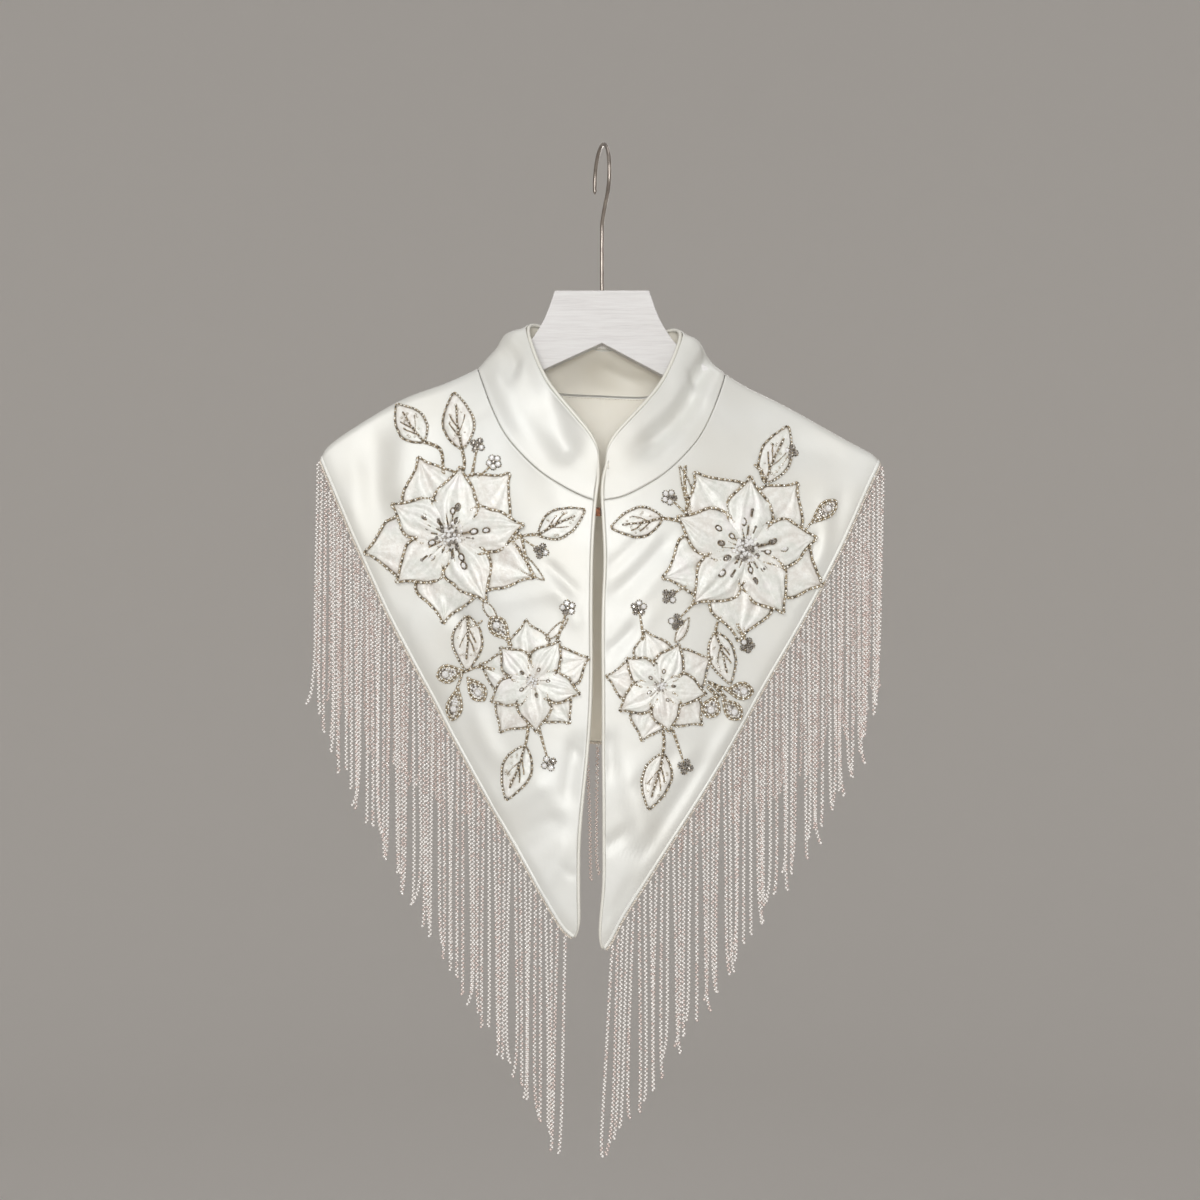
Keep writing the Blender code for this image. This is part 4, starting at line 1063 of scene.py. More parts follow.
def eased(values, passes):
    """The values with their corners eased. The first and the last stay."""
    values = values.copy()
    for _ in range(passes):
        values[1:-1] = (values[:-2] + 2 * values[1:-1] + values[2:]) / 4
    return values


def piping_route():
    """Along the left front edge from its tip, round the collar's free edge, and down the right front edge."""
    left, right, collar = surfaces["left"], surfaces["right"], collar_grid
    behind_left, behind_right, behind_collar = inner_side(left), inner_side(right), inner_side(collar)
    behind_collar[-1, 0], behind_collar[-1, -1] = behind_collar[-3, 2], behind_collar[-3, -3]
    inner = slice(PIPING_SKIP, -PIPING_SKIP)
    collar_left = away_from(collar[:, 0], collar[:, 2], behind_collar[:, 0])
    collar_right = away_from(collar[:, -1], collar[:, -3], behind_collar[:, -1])
    legs = (
        (left[:, 0], away_from(left[:, 0], left[:, 2], behind_left[:, 0]), behind_left[:, 0], -1),
        (collar[inner, 0], collar_left[inner], behind_collar[inner, 0], 1),
        (collar[-1], away_from(collar[-1], collar[-3], behind_collar[-1]), behind_collar[-1], 1),
        (collar[inner, -1], collar_right[inner], behind_collar[inner, -1], -1),
        (right[:, 0], away_from(right[:, 0], right[:, 2], behind_right[:, 0]), behind_right[:, 0], 1),
    )
    rim, out, behind = (np.vstack([leg[part][:: leg[3]] for leg in legs]) for part in range(3))
    route = rim + out * (PIPING_RADIUS + PIPING_OUT) + behind * (PANEL_WALL / 2 - PIPING_FORWARD)
    keep = [0]
    for index in range(1, len(route)):
        if np.linalg.norm(route[index] - route[keep[-1]]) > PIPING_PITCH:
            keep.append(index)
    return eased(route[keep], PIPING_PASSES)


piping_points = piping_route()
from_tip = np.minimum(np.arange(len(piping_points)), np.arange(len(piping_points))[::-1])
piping_radius = PIPING_RADIUS * np.clip(PIPING_TAPER[0] + from_tip / PIPING_TAPER[1], 0, 1)
piping = dressed(tube_mesh("piping_cord", piping_points, piping_radius, PIPING_SIDES), PIPING)
link(piping, "ivory_piping", "piping")

# ---- fringe

# The fringe's heading: sizes and, at the last, how far it lies below the hem and behind the cloth's face.
HEADING = {
    "radius": 1.15, "turn": 5.2, "pitch": 0.9, "strand_share": 0.62, "sides": 6, "below": 1.5, "behind": 0.7,
}


def twisted_cord(name, centre_line):
    """The fringe's heading: two threads twisted round each other."""
    points = every(centre_line, HEADING["pitch"])
    tangents = unit(np.gradient(points, axis=0))
    side = unit(np.cross(tangents, np.array([0.0, 1.0, 0.0])))
    other = np.cross(tangents, side)
    walked = length_along(points)
    parts = []
    radius = HEADING["radius"] * HEADING["strand_share"]
    for phase in (0.0, np.pi):
        angle = 2 * np.pi * walked / HEADING["turn"] + phase
        route = points + radius * (np.cos(angle)[:, None] * side + np.sin(angle)[:, None] * other)
        mesh = tube_mesh("strand", route, radius, HEADING["sides"])
        verts = np.array([v.co[:] for v in mesh.vertices]) / MM
        mesh.calc_loop_triangles()
        faces = np.array([t.vertices[:] for t in mesh.loop_triangles])
        parts.append((verts, faces, 0))
        bpy.data.meshes.remove(mesh)
    return link(dressed(fast_mesh(name, *join(parts)), CREAM_THREAD), "silver_beads")


# How a strand hangs, in millimetres. It draws towards its neighbours, sways, and may turn aside at its end.
GATHER = ((2.1, 1.27, 1.0), (1.0, 2.9, 1.7))  # size, turn from strand to strand, and share of the phase
SWAY = (1.6, 1.9, 0.9)  # size, turn from strand to strand, and what chance adds
FLARE = {"spread": 1.6, "chance": 0.3, "least": 2.0, "most": 5.0}
LENGTH_CHANCE = 2.5
LAST_BEAD = (1.12, 1.25)  # how much wider and taller than the others
# Levels of a strand. Columns: share of its length, share of its gather, share of its sway.
STRAND_LEVELS = ((0.08, 0.06, 0.1), (0.3, 0.45, 0.4), (0.55, 0.85, 0.8), (0.78, 1.0, 1.0))


def side_of(x):
    return "left" if x < 0 else "right"


def strand_paths(hem, away, facing, lengths, tip_drift):
    """The line of each strand, from the strip at the hem down to its end."""
    walked = length_along(hem)
    count = int((walked[-1] - STRIP_START - STRIP_STOP) / STRAND_PITCH)
    edges = np.linspace(STRIP_START, walked[-1] - STRIP_STOP, count + 1)
    places = (edges[1:] + edges[:-1]) / 2
    roots, outs, fronts = (between(places, walked, rows) for rows in (hem, away, facing))
    wanted = np.interp(places / walked[-1], *np.array(lengths).T)
    phase = rng.uniform(0, 6.28)
    paths = []
    for i in range(count):
        root, out, front = roots[i], unit(outs[i]), unit(fronts[i])
        from_corner = max(0.0, 1 - (count - 1 - i) / CORNER_STRANDS)
        drift = np.array(CORNER_DRIFT[side_of(root[0])]) * math.copysign(from_corner**1.3, root[0])
        drift = drift + np.array(tip_drift) * max(0.0, 1 - i / TIP_STRANDS)
        reach = wanted[i] + STRIP_WIDTH + LENGTH_JITTER * math.sin(2.4 * i) * math.cos(0.7 * i)
        reach += rng.uniform(-LENGTH_CHANCE, LENGTH_CHANCE)
        gather = sum(size * math.sin(turn * i + share * phase) for size, turn, share in GATHER)
        back_forth = SWAY[0] * math.sin(SWAY[1] * i + phase) + rng.uniform(-SWAY[2], SWAY[2])
        flare = rng.normal(0, FLARE["spread"])
        turns_aside = rng.random() < FLARE["chance"]
        flare += turns_aside * rng.choice([-1, 1]) * rng.uniform(FLARE["least"], FLARE["most"])
        # It starts behind the hem, goes over the heading and falls from there.
        start = root + out * 0.6 - front * 0.5
        shoulder = root + out * 3.9 + front * 0.6 + np.array([0, 0, 0.9])
        neck = root + out * 5.6 + np.array([0.25 * drift[0], 0, -3.2])
        below = np.array([root[0] + out[0] * 5.0, root[1] + out[1] * 4.2, root[2]])
        points = [start, shoulder, neck]
        for share, pull, swing in STRAND_LEVELS:
            push = np.interp(share, (0.0, 0.72, 1.0), drift)
            points.append(below + (push + gather * pull, back_forth * swing, -reach * share))
        points.append(below + (drift[2] * 0.94 + gather + 0.3 * flare, back_forth, -reach * 0.93))
        points.append(below + (drift[2] + gather * 0.9 + flare, back_forth + 0.3 * flare, -reach))
        smooth = through(points, np.linspace(0, len(points) - 1, 8 * len(points)))
        paths.append(every(smooth, BEAD["pitch"]))
    return paths


def add_fringe(node, hem, inside, inward, lengths, rose_share):
    """The beads of a fringe and its heading. Every second bead lies to one side, as in a twisted string."""
    name = node + "_beads"
    away = away_from(hem, inside, inward)
    centres, sizes, kinds = [], [], []
    for number, path in enumerate(strand_paths(hem, away, -inward, lengths, TIP_DRIFT.get(node, (0, 0, 0)))):
        steps = np.arange(len(path))
        weave = BEAD["weave"] * np.where(steps % 2 == 0, 1.0, -1.0)
        spin = BEAD["spin"][0] * np.sin(steps * BEAD["spin"][1] + number)
        path = path + np.stack([weave * np.cos(spin), weave * np.sin(spin), np.zeros(len(path))], axis=-1)
        grown = rng.uniform(*BEAD["chance"], len(path))
        centres.append(path)
        half = BEAD["width"] * grown
        tall = BEAD["height"] * np.ones(len(path))
        half[-1] *= LAST_BEAD[0]
        tall[-1] *= LAST_BEAD[1]
        sizes.append(np.stack([half, half, tall], axis=-1))
        rose = rose_share + ROSE_SWING[0] * math.sin(ROSE_SWING[1] * number)
        kinds.append((rng.random(len(path)) < rose).astype(int))
    beads = (np.concatenate(rows) for rows in (centres, sizes, kinds))
    made = link(add_beads(name, *beads, (PEARL_BEAD, ROSE_BEAD)), "silver_beads", node)
    line = hem + away * HEADING["below"] + inward * HEADING["behind"]
    return [made, twisted_cord(name + "_heading", line)]


fringes = {}
for side in ("left", "right"):
    grid = surfaces[side][:, : -len(CAP_STEPS)]
    inward = inner_side(grid)[-1]
    lengths = FRINGE_LENGTH["front_" + side]
    fringes[side] = add_fringe(f"fringe_front_{side}", grid[-1], grid[-3], inward, lengths, ROSE_SHARE["front"])
whole = back_grid[:, len(CAP_STEPS) : -len(CAP_STEPS)]
middle = whole.shape[1] // 2
inward = inner_side(whole)[-1]
fringes["back"] = []
for side, half in (("left", slice(middle, None, -1)), ("right", slice(middle, None))):
    edge = (whole[-1, half], whole[-3, half], inward[half])
    fringes["back"] += add_fringe(f"fringe_back_{side}", *edge, FRINGE_LENGTH["back"], ROSE_SHARE["back"])

# ---- applique

ORGANZA_WALL = 0.3
IN_FRONT = -200.0  # y of the place from which points are laid back on the cloth
STEP_IN = 0.02  # share of the way to a piece's own centre that a point off the cloth moves at a time
MOST_STEPS = 60


def surface_tree(grid):
    faces = [tuple(face) for face in grid_faces(*grid.shape[:2])]
    return BVHTree.FromPolygons([Vector(point) for point in grid.reshape(-1, 3)], faces)


TREES = {side: surface_tree(grid) for side, grid in surfaces.items()}


def laid(side, x, z, height, centre):
    """A point at a height over the front at (x, z), and the normal there. Off the cloth it moves in."""
    tree = TREES[side]
    for _ in range(MOST_STEPS):
        hit, normal, _, _ = tree.ray_cast(Vector((x, IN_FRONT, z)), Vector((0, 1, 0)))
        if hit is not None:
            break
        x += (centre[0] - x) * STEP_IN
        z += (centre[1] - z) * STEP_IN
    if normal.y > 0:
        normal = -normal
    return np.array(hit + normal * height), np.array(normal)


def smooth_shape(table):
    """The outline's half width at even places, with its corners eased."""
    u = np.linspace(0, 1, 60)
    return u, eased(np.interp(u, *np.array(table).T), 4)


PETAL_CURVES = {layer: smooth_shape(shape) for layer, shape in PETAL_SHAPES.items()}
LEAF_CURVE = smooth_shape(LEAF_SHAPE)


def way_of(angle):
    return np.array((math.cos(angle), math.sin(angle)))


def square_to(way):
    return np.array((-way[1], way[0]))


class Blade:
    """A petal or a leaf laid flat on the cloth: where it starts, where it points, and its outline."""

    def __init__(self, side, base, angle, length, width, curve, bend, wobble, seed):
        self.side, self.base, self.length, self.width = side, base, length, width
        self.curve, self.bend, self.wobble = curve, bend, wobble
        self.axis = way_of(angle)
        self.square = square_to(self.axis)
        self.dice = np.random.default_rng(seed)
        self.phases = self.dice.uniform(0, 6.28, 8)

    def place(self, u, v, grow=0.0):
        """The flat place at a share u of its length and v of its half width, grown by some millimetres."""
        phase = self.phases[0] + (1.7 if v < 0 else 0)
        waves = math.sin(11 * u + phase) + 0.45 * math.sin(23 * u + 2.3 * phase)
        edge = 1 + self.wobble * waves * math.sin(math.pi * u) ** 0.7
        half = np.interp(u, *self.curve) * self.width / 2 * edge + grow
        sway = self.bend * self.length * u * u
        return self.base + self.axis * (self.length * u + grow * u * u) + self.square * (half * v + sway)

    def surface(self, ground, puff, crinkle, rows, columns):
        """Its puffed, crinkled face, as verts and faces."""
        p = self.phases
        verts = []
        for u in np.linspace(0, 1, rows):
            along_it = math.sin(math.pi * min(u + 0.06, 1.0)) ** 0.6
            for v in np.linspace(-1, 1, columns):
                x, z = self.place(u, v)
                swell = puff * (1 - v * v) ** 0.6 * along_it
                rib = -0.42 * puff * math.exp(-((v / 0.13) ** 2)) * along_it
                wave = math.sin(8 * v + p[1] + 1.4 * math.sin(2.2 * u + p[2]))
                wave += 0.75 * math.sin(13 * v + p[3] + 1.8 * math.sin(3.1 * u + p[4]))
                wave += 0.55 * math.sin(20 * v * (1 - 0.3 * u) + p[5] + 1.5 * math.sin(4 * u + p[6]))
                wave += 0.6 * math.sin(8 * u + 4 * v + p[7])
                lifted = ground + max(0.0, swell + rib + crinkle * wave * (1 - v**4) * along_it)
                verts.append(laid(self.side, x, z, lifted, self.base)[0])
        return np.array(verts), grid_faces(rows, columns)

    def edge(self, start, grow, pitch):
        """Places round its edge, from a share of its length to the tip and back."""
        line = [self.place(u, -1, grow) for u in np.linspace(start, 1, 40)]
        line += [self.place(u, 1, grow) for u in np.linspace(1, start, 40)]
        return every(np.array(line), pitch)


def add_organza(name, parts, name_slot, *replaced):
    """One thin piece of organza out of (verts, faces, material index) parts."""
    verts, faces, kinds = join(parts)
    made = dressed(fast_mesh(name, verts, faces[:, ::-1], kinds), ORGANZA)
    thicken(made, ORGANZA_WALL)
    return link(made, name_slot, *replaced)


BEAD_GROWTH = (1.2, 1.0, 0.95)  # for light, taupe and dark beads
BEAD_LIFT = (0.3, 0.0, 0.0)
trim = {side: {"centres": [], "sizes": [], "kinds": []} for side in surfaces}
gems = {side: [] for side in surfaces}


def put_beads(side, places, height, size, pattern, centre, wander=0.0):
    """Beads over flat places of a front. Their materials repeat a pattern: L light, T taupe, D dark."""
    for index, (x, z) in enumerate(places):
        kind = "LTD".index(pattern[index % len(pattern)])
        grown = size * rng.uniform(0.88, 1.12) * BEAD_GROWTH[kind]
        shift = rng.uniform(-wander, wander, 2)
        lift = height + BEAD_LIFT[kind] * size
        trim[side]["centres"].append(laid(side, x + shift[0], z + shift[1], lift, centre)[0])
        trim[side]["sizes"].append((grown, grown, grown))
        trim[side]["kinds"].append(kind)


# Rings of a cut stone. Columns: share of its radius, share of its height, turn.
GEM_RINGS = ((1.0, 0.0, 0.0), (1.0, 0.32, 0.0), (0.58, 0.78, math.pi / 8))
GEM_TABLE = 0.82
FACETS = 8


def put_gem(side, x, z, radius, height, kind, centre, stretch=1.0, aim=0.0):
    """A cut stone with eight facets, a sloping crown and a flat table. It may be longer along an aim."""
    seat, normal = laid(side, x, z, height, centre)
    up = unit(normal)
    across = np.array((math.cos(aim), 0.0, math.sin(aim)))
    across = unit(across - up * np.dot(across, up))
    other = np.cross(up, across)
    angles = np.arange(FACETS) * math.pi / 4 + rng.uniform(0, 0.8)
    verts = []
    for share, rise, shift in GEM_RINGS:
        for angle in angles + shift:
            flat = stretch * math.cos(angle) * across + math.sin(angle) * other
            verts.append(seat + radius * share * flat + up * radius * rise)
    verts.append(seat + up * radius * GEM_TABLE)
    faces = []
    for a, b, c, d in ring_faces(len(GEM_RINGS), FACETS):
        faces += [(a, b, c), (a, c, d)]
    table = len(GEM_RINGS) * FACETS
    for j in range(FACETS):
        faces.append((table, table - FACETS + j, table - FACETS + (j + 1) % FACETS))
    gems[side].append((np.array(verts), np.array(faces), kind))


def circle(centre, radius, count, turn=0.0):
    angles = np.arange(count) * 2 * math.pi / count + turn
    return centre + radius * np.stack([np.cos(angles), np.sin(angles)], axis=-1)


def oval(centre, radius, stretch, aim, count):
    """Places round an oval that is longer along its aim."""
    angles = (np.arange(count) * 2 * math.pi / count)[:, None]
    way = way_of(aim)
    return centre + radius * (stretch * np.cos(angles) * way + np.sin(angles) * square_to(way))


def line_between(start, end, pitch):
    return every(np.array(start) + (np.array(end) - start) * np.linspace(0, 1, 12)[:, None], pitch)


def ends_of(row):
    """The side, both ends, the length and the angle of what the row's first four columns lay down."""
    base, tip = np.array(row[0:2]), np.array(row[2:4])
    length = np.linalg.norm(tip - base)
    return side_of(row[0]), base, tip, length, math.atan2(tip[1] - base[1], tip[0] - base[0])


# Layers of a flower. Columns: height over the cloth, puff, width as a share of the length, start of its beads.
LAYERS = {"outer": (0.5, 2.2, 0.72, 0.45), "inner": (2.0, 3.0, 0.64, 0.2)}
CRINKLE = 0.62
# What the two sizes of flower differ in. Each chain has its angle from the petal's middle, and each stamen its
# share of the petal's length and its angle. Bars is the chance of a straight stamen. The heart has its reach,
# its stones and their sizes, and its dome's height and how much lower the dome is at its rim.
FLOWER_SIZES = {
    "large": {
        "scale": 1.0, "lines": 25, "edge_bead": 1.1, "chains": (-0.3, 0.03, 0.34), "chain_bead": 0.8,
        "stamens": ((0.27, -0.34), (0.35, 0.12), (0.47, -0.14)), "bars": 0.25, "stamen": 2.0,
        "ring_bead": 0.66, "reach": 11.0, "stones": 40, "stone": (1.1, 2.1), "dome": (5.0, 1.6),
        "rim_beads": 20, "rim_height": 3.9,
    },
    "small": {
        "scale": 0.72, "lines": 19, "edge_bead": 0.92, "chains": (0.3,), "chain_bead": 0.55,
        "stamens": ((0.3, 0.12),), "bars": 0.0, "stamen": 1.1,
        "ring_bead": 0.48, "reach": 4.8, "stones": 13, "stone": (0.75, 1.35), "dome": (3.9, 0.9),
        "rim_beads": 10, "rim_height": 3.2,
    },
}
GOLDEN_ANGLE = 2.39996
DARK_SHARE = {"stamens": 0.35, "heart": 0.34, "drops": 0.5, "clusters": 0.45}  # of cut stones
# Veins of a leaf. Columns: share of its length at the rib, reach, side.
VEINS = ((0.18, 0.32, 1), (0.36, 0.3, 1), (0.3, 0.3, -1))
SPECKS = 14
# Drop-shaped ornaments: what they gain in length, their grid, the round stone's share of the width and its
# place, and the small stones' pitch along and across.
DROP = {"gain": 2.0, "grid": (12, 9), "stone": 0.2, "place": 0.66, "along": 2.0, "across": 1.9}


def build_flower(name, row):
    """Five outer and five inner petals with beaded edges, stamens and a heart of cut stones."""
    x, z, outer, inner, turn = row
    side = side_of(x)
    centre = np.array((x, z))
    kind = FLOWER_SIZES[name.split("_")[1]]
    lines, scale = kind["lines"], kind["scale"]
    dice = np.random.default_rng(int(abs(x * 10)))
    parts = []
    for layer, reach in (("outer", outer), ("inner", inner)):
        ground, puff, slender, start = LAYERS[layer]
        for petal in range(PETALS):
            angle = math.radians(turn + 72 * petal + (36 if layer == "outer" else 0) + dice.uniform(-4, 4))
            length = reach * dice.uniform(0.95, 1.05)
            seed = int(abs(x) * 100) + petal + (50 if layer == "outer" else 0)
            bend = dice.uniform(-0.07, 0.07)
            blade = Blade(side, centre, angle, length, length * slender, PETAL_CURVES[layer], bend, 0.07, seed)
            parts.append((*blade.surface(ground, puff * scale, CRINKLE * scale, lines, lines), 0))
            edge = blade.edge(start, 0.5, 1.7)
            put_beads(side, edge, ground + 0.8, kind["edge_bead"], "TLTTLDTL", centre, 0.2)
            if layer == "inner":
                stamens(side, centre, angle, length, ground + puff * scale, kind, dice)
    add_organza(f"petals_{name}", parts, "pearl_organza", f"flower_{name}")
    heart(side, centre, kind, dice)


def stamens(side, centre, angle, length, height, kind, dice):
    """Stamens over one petal: dark chains that point out from the heart, and ringed oval stones."""
    for shift in kind["chains"]:
        way = way_of(angle + shift)
        reach = length * (0.29 + 0.05 * math.sin(9 * angle + 5 * shift))
        line = line_between(centre + length * 0.17 * way, centre + reach * way, 1.3)
        put_beads(side, line, height - 0.9, kind["chain_bead"], "DTD", centre)
    for share, shift in kind["stamens"]:
        aim = angle + shift + dice.uniform(-0.14, 0.14)
        way = way_of(aim)
        reach = length * share * dice.uniform(0.9, 1.12)
        spot = centre + reach * way
        size = kind["stamen"] * dice.uniform(0.85, 1.15)
        if kind["bars"] and dice.random() < kind["bars"]:
            line = line_between(spot - 2.6 * way, spot + 2.6 * way, 1.15)
            put_beads(side, line, height - 0.2, 0.95, "D", centre)
            put_gem(side, *(spot + 2.6 * way), 1.25, height - 0.2, 1, centre)
            continue
        dark = int(dice.random() < DARK_SHARE["stamens"])
        put_gem(side, *spot, size * 0.72, height - 0.3, dark, centre, 1.5, aim)
        put_beads(side, oval(spot, size, 1.4, aim, 14), height - 0.3, kind["ring_bead"], "DDT", centre)


def heart(side, centre, kind, dice):
    """The cluster of small cut stones in the middle of a flower."""
    reach, count = kind["reach"], kind["stones"]
    top, drop = kind["dome"]
    for i in range(count):
        radius = reach * ((i + 0.4) / count) ** 0.62 * dice.uniform(0.88, 1.14)
        size = dice.uniform(*kind["stone"])
        x, z = centre + radius * way_of(i * GOLDEN_ANGLE)
        rise = top - drop * (radius / reach) ** 2
        put_gem(side, x, z, size, rise, int(dice.random() < DARK_SHARE["heart"]), centre)
    rim = circle(centre, reach + 0.6, kind["rim_beads"])
    put_beads(side, rim, kind["rim_height"], 0.72, "TDL", centre, 1.3)


def build_leaf(name, row):
    """An organza leaf with a beaded edge, a beaded rib with three veins, and light specks."""
    side, base, tip, length, angle = ends_of(row)
    centre = (base + tip) / 2
    blade = Blade(side, base, angle, length, row[4], LEAF_CURVE, 0.0, 0.03, int(abs(base[0]) * 10))
    parts = [(*blade.surface(0.45, 1.2, 0.22, 18, 15), 0)]
    add_organza(f"organza_leaf_{name}", parts, "pearl_organza", f"leaf_{name}")
    edge = blade.edge(0.0, 0.6, 1.5)
    half = len(edge) // 2
    put_beads(side, edge[:half], 1.0, 0.9, "LTLDLT", centre, 0.15)
    put_beads(side, edge[half:], 1.0, 0.9, "TDTL", centre, 0.15)
    rib = np.array([blade.place(u, 0.08 * math.sin(5 * u)) for u in np.linspace(0.0, 0.78, 20)])
    put_beads(side, every(rib, 1.3), 1.9, 0.9, "DTDL", centre)
    for start, reach, turn in VEINS:
        shares = np.linspace(0, 1, 8)
        vein = np.array([blade.place(start + 0.9 * t * reach, turn * 1.8 * reach * t**0.8) for t in shares])
        put_beads(side, every(vein, 1.25), 1.7, 0.74 if turn > 0 else 0.6, "DTT", centre)
    for u, v in zip(blade.dice.uniform(0.15, 0.75, SPECKS), blade.dice.uniform(-0.75, 0.75, SPECKS)):
        put_beads(side, [blade.place(u, v)], 1.5, 0.72, "L", centre)


def build_drop(name, row):
    """A drop-shaped ornament: a rim of beads, rows of small stones and one round stone."""
    side, base, tip, length, _ = ends_of(row)
    width = row[4]
    axis = (tip - base) / length
    length += DROP["gain"]
    square = square_to(axis)
    centre = base + axis * length * 0.6

    def half(u):
        return width / 2 * math.sin(math.pi * min(max(u, 0.0), 1.0) ** 1.45) ** 0.75 if 0 < u < 1 else 0.0

    rows, columns = DROP["grid"]
    verts = []
    for u in np.linspace(0.0, 1.0, rows):
        for v in np.linspace(-1, 1, columns):
            x, z = base + axis * length * u + square * v * max(half(u), 0.3)
            verts.append(laid(side, x, z, 0.4 + 1.0 * (1 - v * v) * math.sin(math.pi * u), centre)[0])
    add_organza(f"ground_{name}", [(np.array(verts), grid_faces(rows, columns), 0)], "clear_stone", name)
    there = [base + axis * length * u - square * half(u) for u in np.linspace(0, 1, 40)]
    back = [base + axis * length * u + square * half(u) for u in np.linspace(1, 0, 40)]
    rim = np.array(there + back)
    put_beads(side, every(rim, 1.5), 1.1, 1.05, "TTL", centre)
    put_beads(side, every(centre + (rim - centre) * (1 - 3.6 / width), 1.5), 1.4, 0.9, "LTL", centre)
    spot = base + axis * length * DROP["place"]
    stone = width * DROP["stone"]
    put_gem(side, *spot, stone, 1.8, 0, centre)
    for u in np.arange(0.2, 0.95, DROP["along"] / length):
        room = half(u) - 3.0
        for v in np.arange(-room, room + 0.01, DROP["across"]):
            place = base + axis * length * u + square * v
            if np.linalg.norm(place - spot) > stone + 0.8:
                put_gem(side, *place, 1.0, 1.6, int(rng.random() < DARK_SHARE["drops"]), centre)


def build_cluster(row):
    """Round stones in dark rings about a small one, on a stem of two rows of beads."""
    x, z, count, stem_x, stem_z = row
    side = side_of(x)
    centre = np.array((x, z))
    for place in circle(centre, 3.8, count, 0.4 * x):
        size = 2.0 * rng.uniform(0.9, 1.1)
        put_gem(side, *place, size, 1.0, int(rng.random() < DARK_SHARE["clusters"]), centre)
        put_beads(side, circle(place, 2.4, 9), 0.7, 0.72, "DDT", centre)
    put_gem(side, x, z, 1.3, 1.6, 1, centre)
    start = centre + (np.array((stem_x, stem_z)) - centre) * 0.14
    for shift in (-0.8, 0.8):
        put_beads(side, line_between(start, (stem_x + shift, stem_z), 1.45), 0.8, 0.84, "TLT", centre)


def build_stem(row):
    """Two rows of beads side by side along a bent line."""
    side = side_of(row[0])
    points = through(np.array(row).reshape(3, 2), np.linspace(0, 2, 30))
    for shift, pattern in ((-0.55, "TLT"), (0.55, "TDTL")):
        put_beads(side, every(points + shift, 1.5), 0.9, 0.9, pattern, points[0])


def build_sliver(number, row):
    """A narrow petal of organza with a beaded edge, which stands for no CAD node."""
    side, base, tip, length, angle = ends_of(row)
    blade = Blade(side, base, angle, length, row[4], LEAF_CURVE, 0.08, 0.0, number)
    add_organza(f"organza_sliver_{number}", [(*blade.surface(0.4, 0.8, 0.15, 14, 9), 0)], "pearl_organza")
    put_beads(side, blade.edge(0.0, 0.3, 1.4), 0.8, 0.66, "TLT", (base + tip) / 2)


for name, row in FLOWERS.items():
    build_flower(name, row)
for name, row in LEAVES.items():
    build_leaf(name, row)
for name, row in STONES.items():
    build_drop(name, row)
for row in CLUSTERS:
    build_cluster(row)
for row in STEMS:
    build_stem(row)
for number, row in enumerate(SLIVERS):
    build_sliver(number, row)
for side, store in trim.items():
    beads = (store["centres"], store["sizes"], store["kinds"], (SILVER_BEAD, TAUPE_BEAD, DARK_BEAD))
    link(add_beads(f"applique_beads_{side}", *beads), "silver_beads")
    mesh = fast_mesh(f"cut_stones_{side}", *join(gems[side]), smooth=False)
    link(dressed(mesh, CLEAR_STONE, DARK_STONE), "clear_stone")

# ---- stitches on the inside of the neck

STITCH = {"pitch": 2.6, "half": (0.7, 0.22, 0.22), "apart": 0.375, "proud": 0.25, "below": 2.0}
neck_line = on_back(back_neck(BACK_PLACES[4:]))
neck_line[:, 1] -= PANEL_WALL + STITCH["proud"]
neck_line[:, 2] -= STITCH["below"]
stitches = every(neck_line, STITCH["pitch"])
ends = unit(np.gradient(stitches, axis=0)) * STITCH["apart"]
centres = np.concatenate([stitches - ends, stitches + ends])
sizes = np.full((len(centres), 3), STITCH["half"])
thread = add_beads("neck_stitches", centres, sizes, np.zeros(len(centres)), (CREAM_THREAD,))
link(thread, "ivory_piping")

# ---- hanger

LOOP_STEP = 5.0  # in degrees
WIRE_SIDES = 20
WIRE_END = 0.12  # the least that is left of the radius, squared, where the wire's end is rounded


def hook_points():
    """The middle of the wire, from its end in the hanger's bore up the shank and round the loop."""
    radius = LOOP_INNER_RADIUS + WIRE_RADIUS
    route = [(0.0, z) for z in (PLATE_TOP - BORE_DEPTH + GAP, -110.0, -100.0, -90.0, -80.0, SHANK_STRAIGHT_TOP)]
    loop = []
    for degrees in np.arange(LOOP_FROM, LOOP_TO + 0.1, LOOP_STEP):
        angle = math.radians(degrees)
        loop.append((radius * math.sin(angle), -LOOP_INNER_RADIUS - radius * math.cos(angle)))
    bend = through([(0.0, -80.0), route[-1], loop[0], loop[2]], np.linspace(1.1, 1.9, 9))
    points = []
    for forward, z in [*route, *bend, *loop]:
        points.append((forward * math.sin(LOOP_TURN), -forward * math.cos(LOOP_TURN), z))
    return np.array(points)


wire_points = hook_points()
from_end = length_along(wire_points[::-1])[::-1]
wire_radius = WIRE_RADIUS * np.sqrt(np.clip(1 - np.clip(1 - from_end / WIRE_RADIUS, 0, 1) ** 2, WIRE_END, 1))
wire = tube_mesh("hook_wire", wire_points, wire_radius, WIRE_SIDES)
link(dressed(wire, WIRE), "brushed_wire", "hanger_hook")

for node, material in (("hanger_body", WOOD), ("clasp_hook", BRONZE), ("clasp_eye", BRONZE)):
    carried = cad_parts[node]
    carried.data.materials.clear()
    carried.data.materials.append(material)

# ---- stage and light

# In metres, as are the lights' places and sizes.
FLOOR_Z = -2.3
FLOOR_RADIUS = 5.0
SWEEP_RADIUS = 2.0
SWEEP_STEPS = 12
WALL_TOP = 4.0
STAGE_SIDES = 64


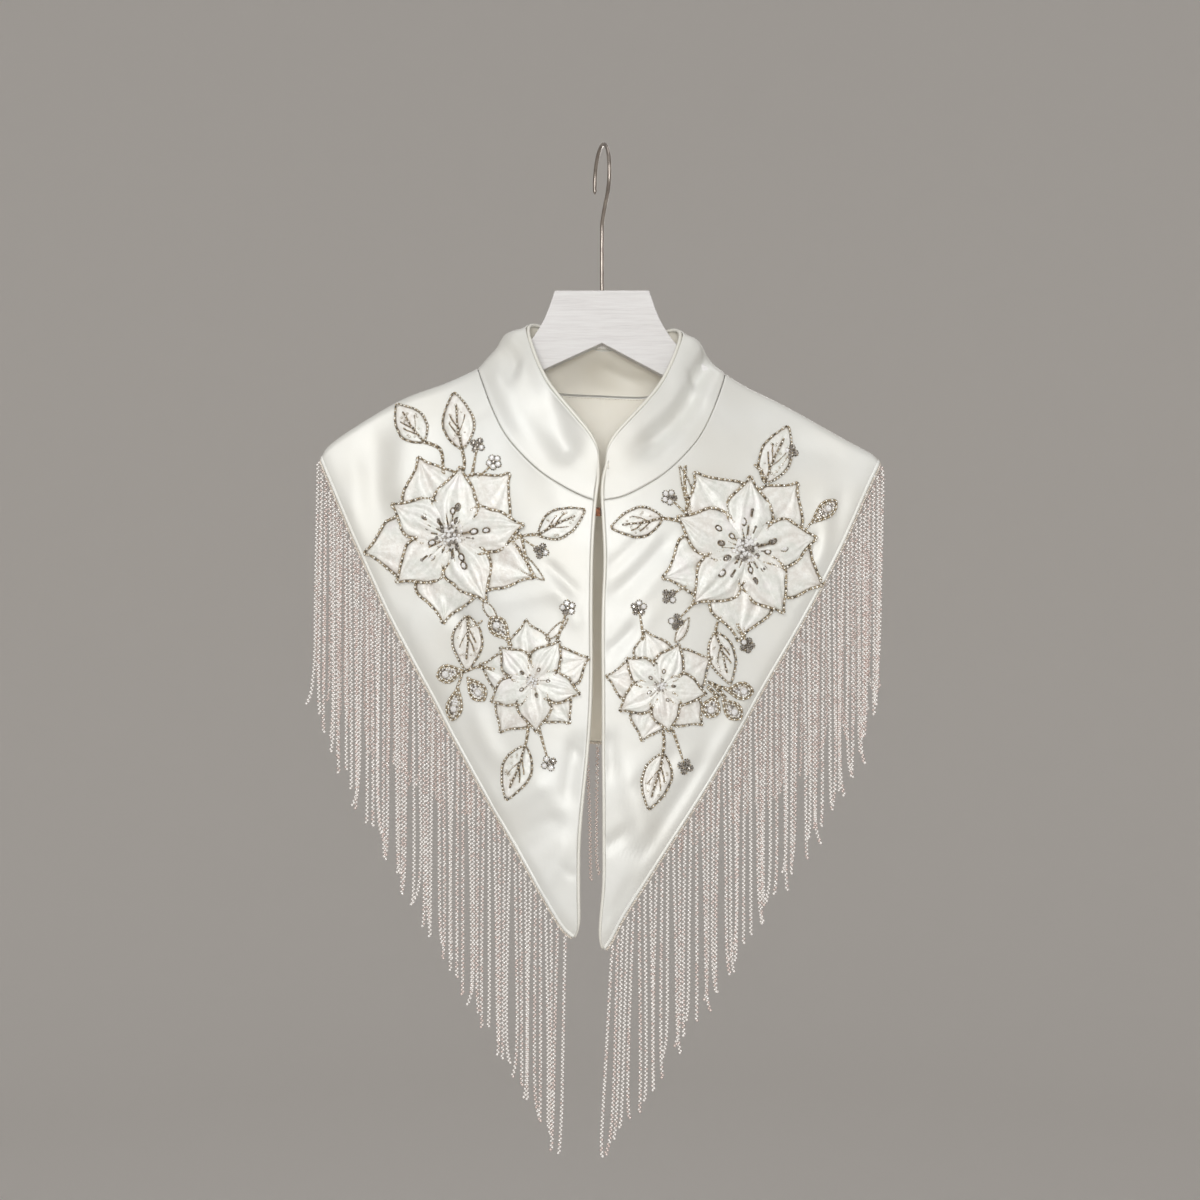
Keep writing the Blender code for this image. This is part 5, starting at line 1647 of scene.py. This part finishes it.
def add_stage():
    """A plain floor that sweeps up into a plain wall all round, far behind every view."""
    profile = [(0.0, FLOOR_Z), (FLOOR_RADIUS, FLOOR_Z)]
    for step in range(1, SWEEP_STEPS + 1):
        angle = math.pi / 2 * step / SWEEP_STEPS
        radius = FLOOR_RADIUS + SWEEP_RADIUS * math.sin(angle)
        profile.append((radius, FLOOR_Z + SWEEP_RADIUS * (1 - math.cos(angle))))
    profile.append((FLOOR_RADIUS + SWEEP_RADIUS, WALL_TOP))
    verts = []
    for radius, z in profile:
        for angle in np.arange(STAGE_SIDES) * 2 * math.pi / STAGE_SIDES:
            verts.append((radius * math.cos(angle), radius * math.sin(angle), z))
    mesh = bpy.data.meshes.new("stage")
    mesh.from_pydata(verts, [], [face[::-1] for face in ring_faces(len(profile), STAGE_SIDES)])
    mesh.shade_smooth()
    m = Material("stage_paint", 0.9)
    m.colour(linear(244, 242, 239))
    made = dressed(mesh, m.material)
    bpy.context.scene.collection.objects.link(made)


CENTRE = Vector((0.0, 0.0, -0.38))
WORLD_COLOUR = (1.0, 0.96, 0.93, 1.0)
WORLD_STRENGTH = 0.35
add_stage()
# Soft square lights. Columns: name, place, size, watts, colour.
for name, place, size, watts, colour in (
    ("key", (-0.5, -1.5, 0.38), 0.8, 9.0, (0.985, 0.995, 1.0)),
    ("front", (0.0, -2.4, -0.35), 0.6, 19.0, (1.0, 1.0, 1.0)),
    ("side", (1.6, -1.3, 0.2), 0.8, 2.5, (1.0, 0.995, 0.985)),
    ("top", (0.1, -0.1, 1.9), 1.2, 5.0, (1.0, 1.0, 1.0)),
    ("behind", (0.3, 2.5, 0.35), 1.6, 26.0, (1.0, 0.98, 0.96)),
):
    data = bpy.data.lights.new(name, "AREA")
    data.size = size
    data.energy = watts
    data.color = colour
    made = bpy.data.objects.new(name, data)
    made.location = place
    made.rotation_euler = (CENTRE - Vector(place)).to_track_quat("-Z", "Y").to_euler()
    bpy.context.scene.collection.objects.link(made)
world = bpy.data.worlds.new("studio")
world.use_nodes = True
world.node_tree.nodes["Background"].inputs["Color"].default_value = WORLD_COLOUR
world.node_tree.nodes["Background"].inputs["Strength"].default_value = WORLD_STRENGTH
bpy.context.scene.world = world
bpy.context.scene.view_settings.view_transform = "Standard"
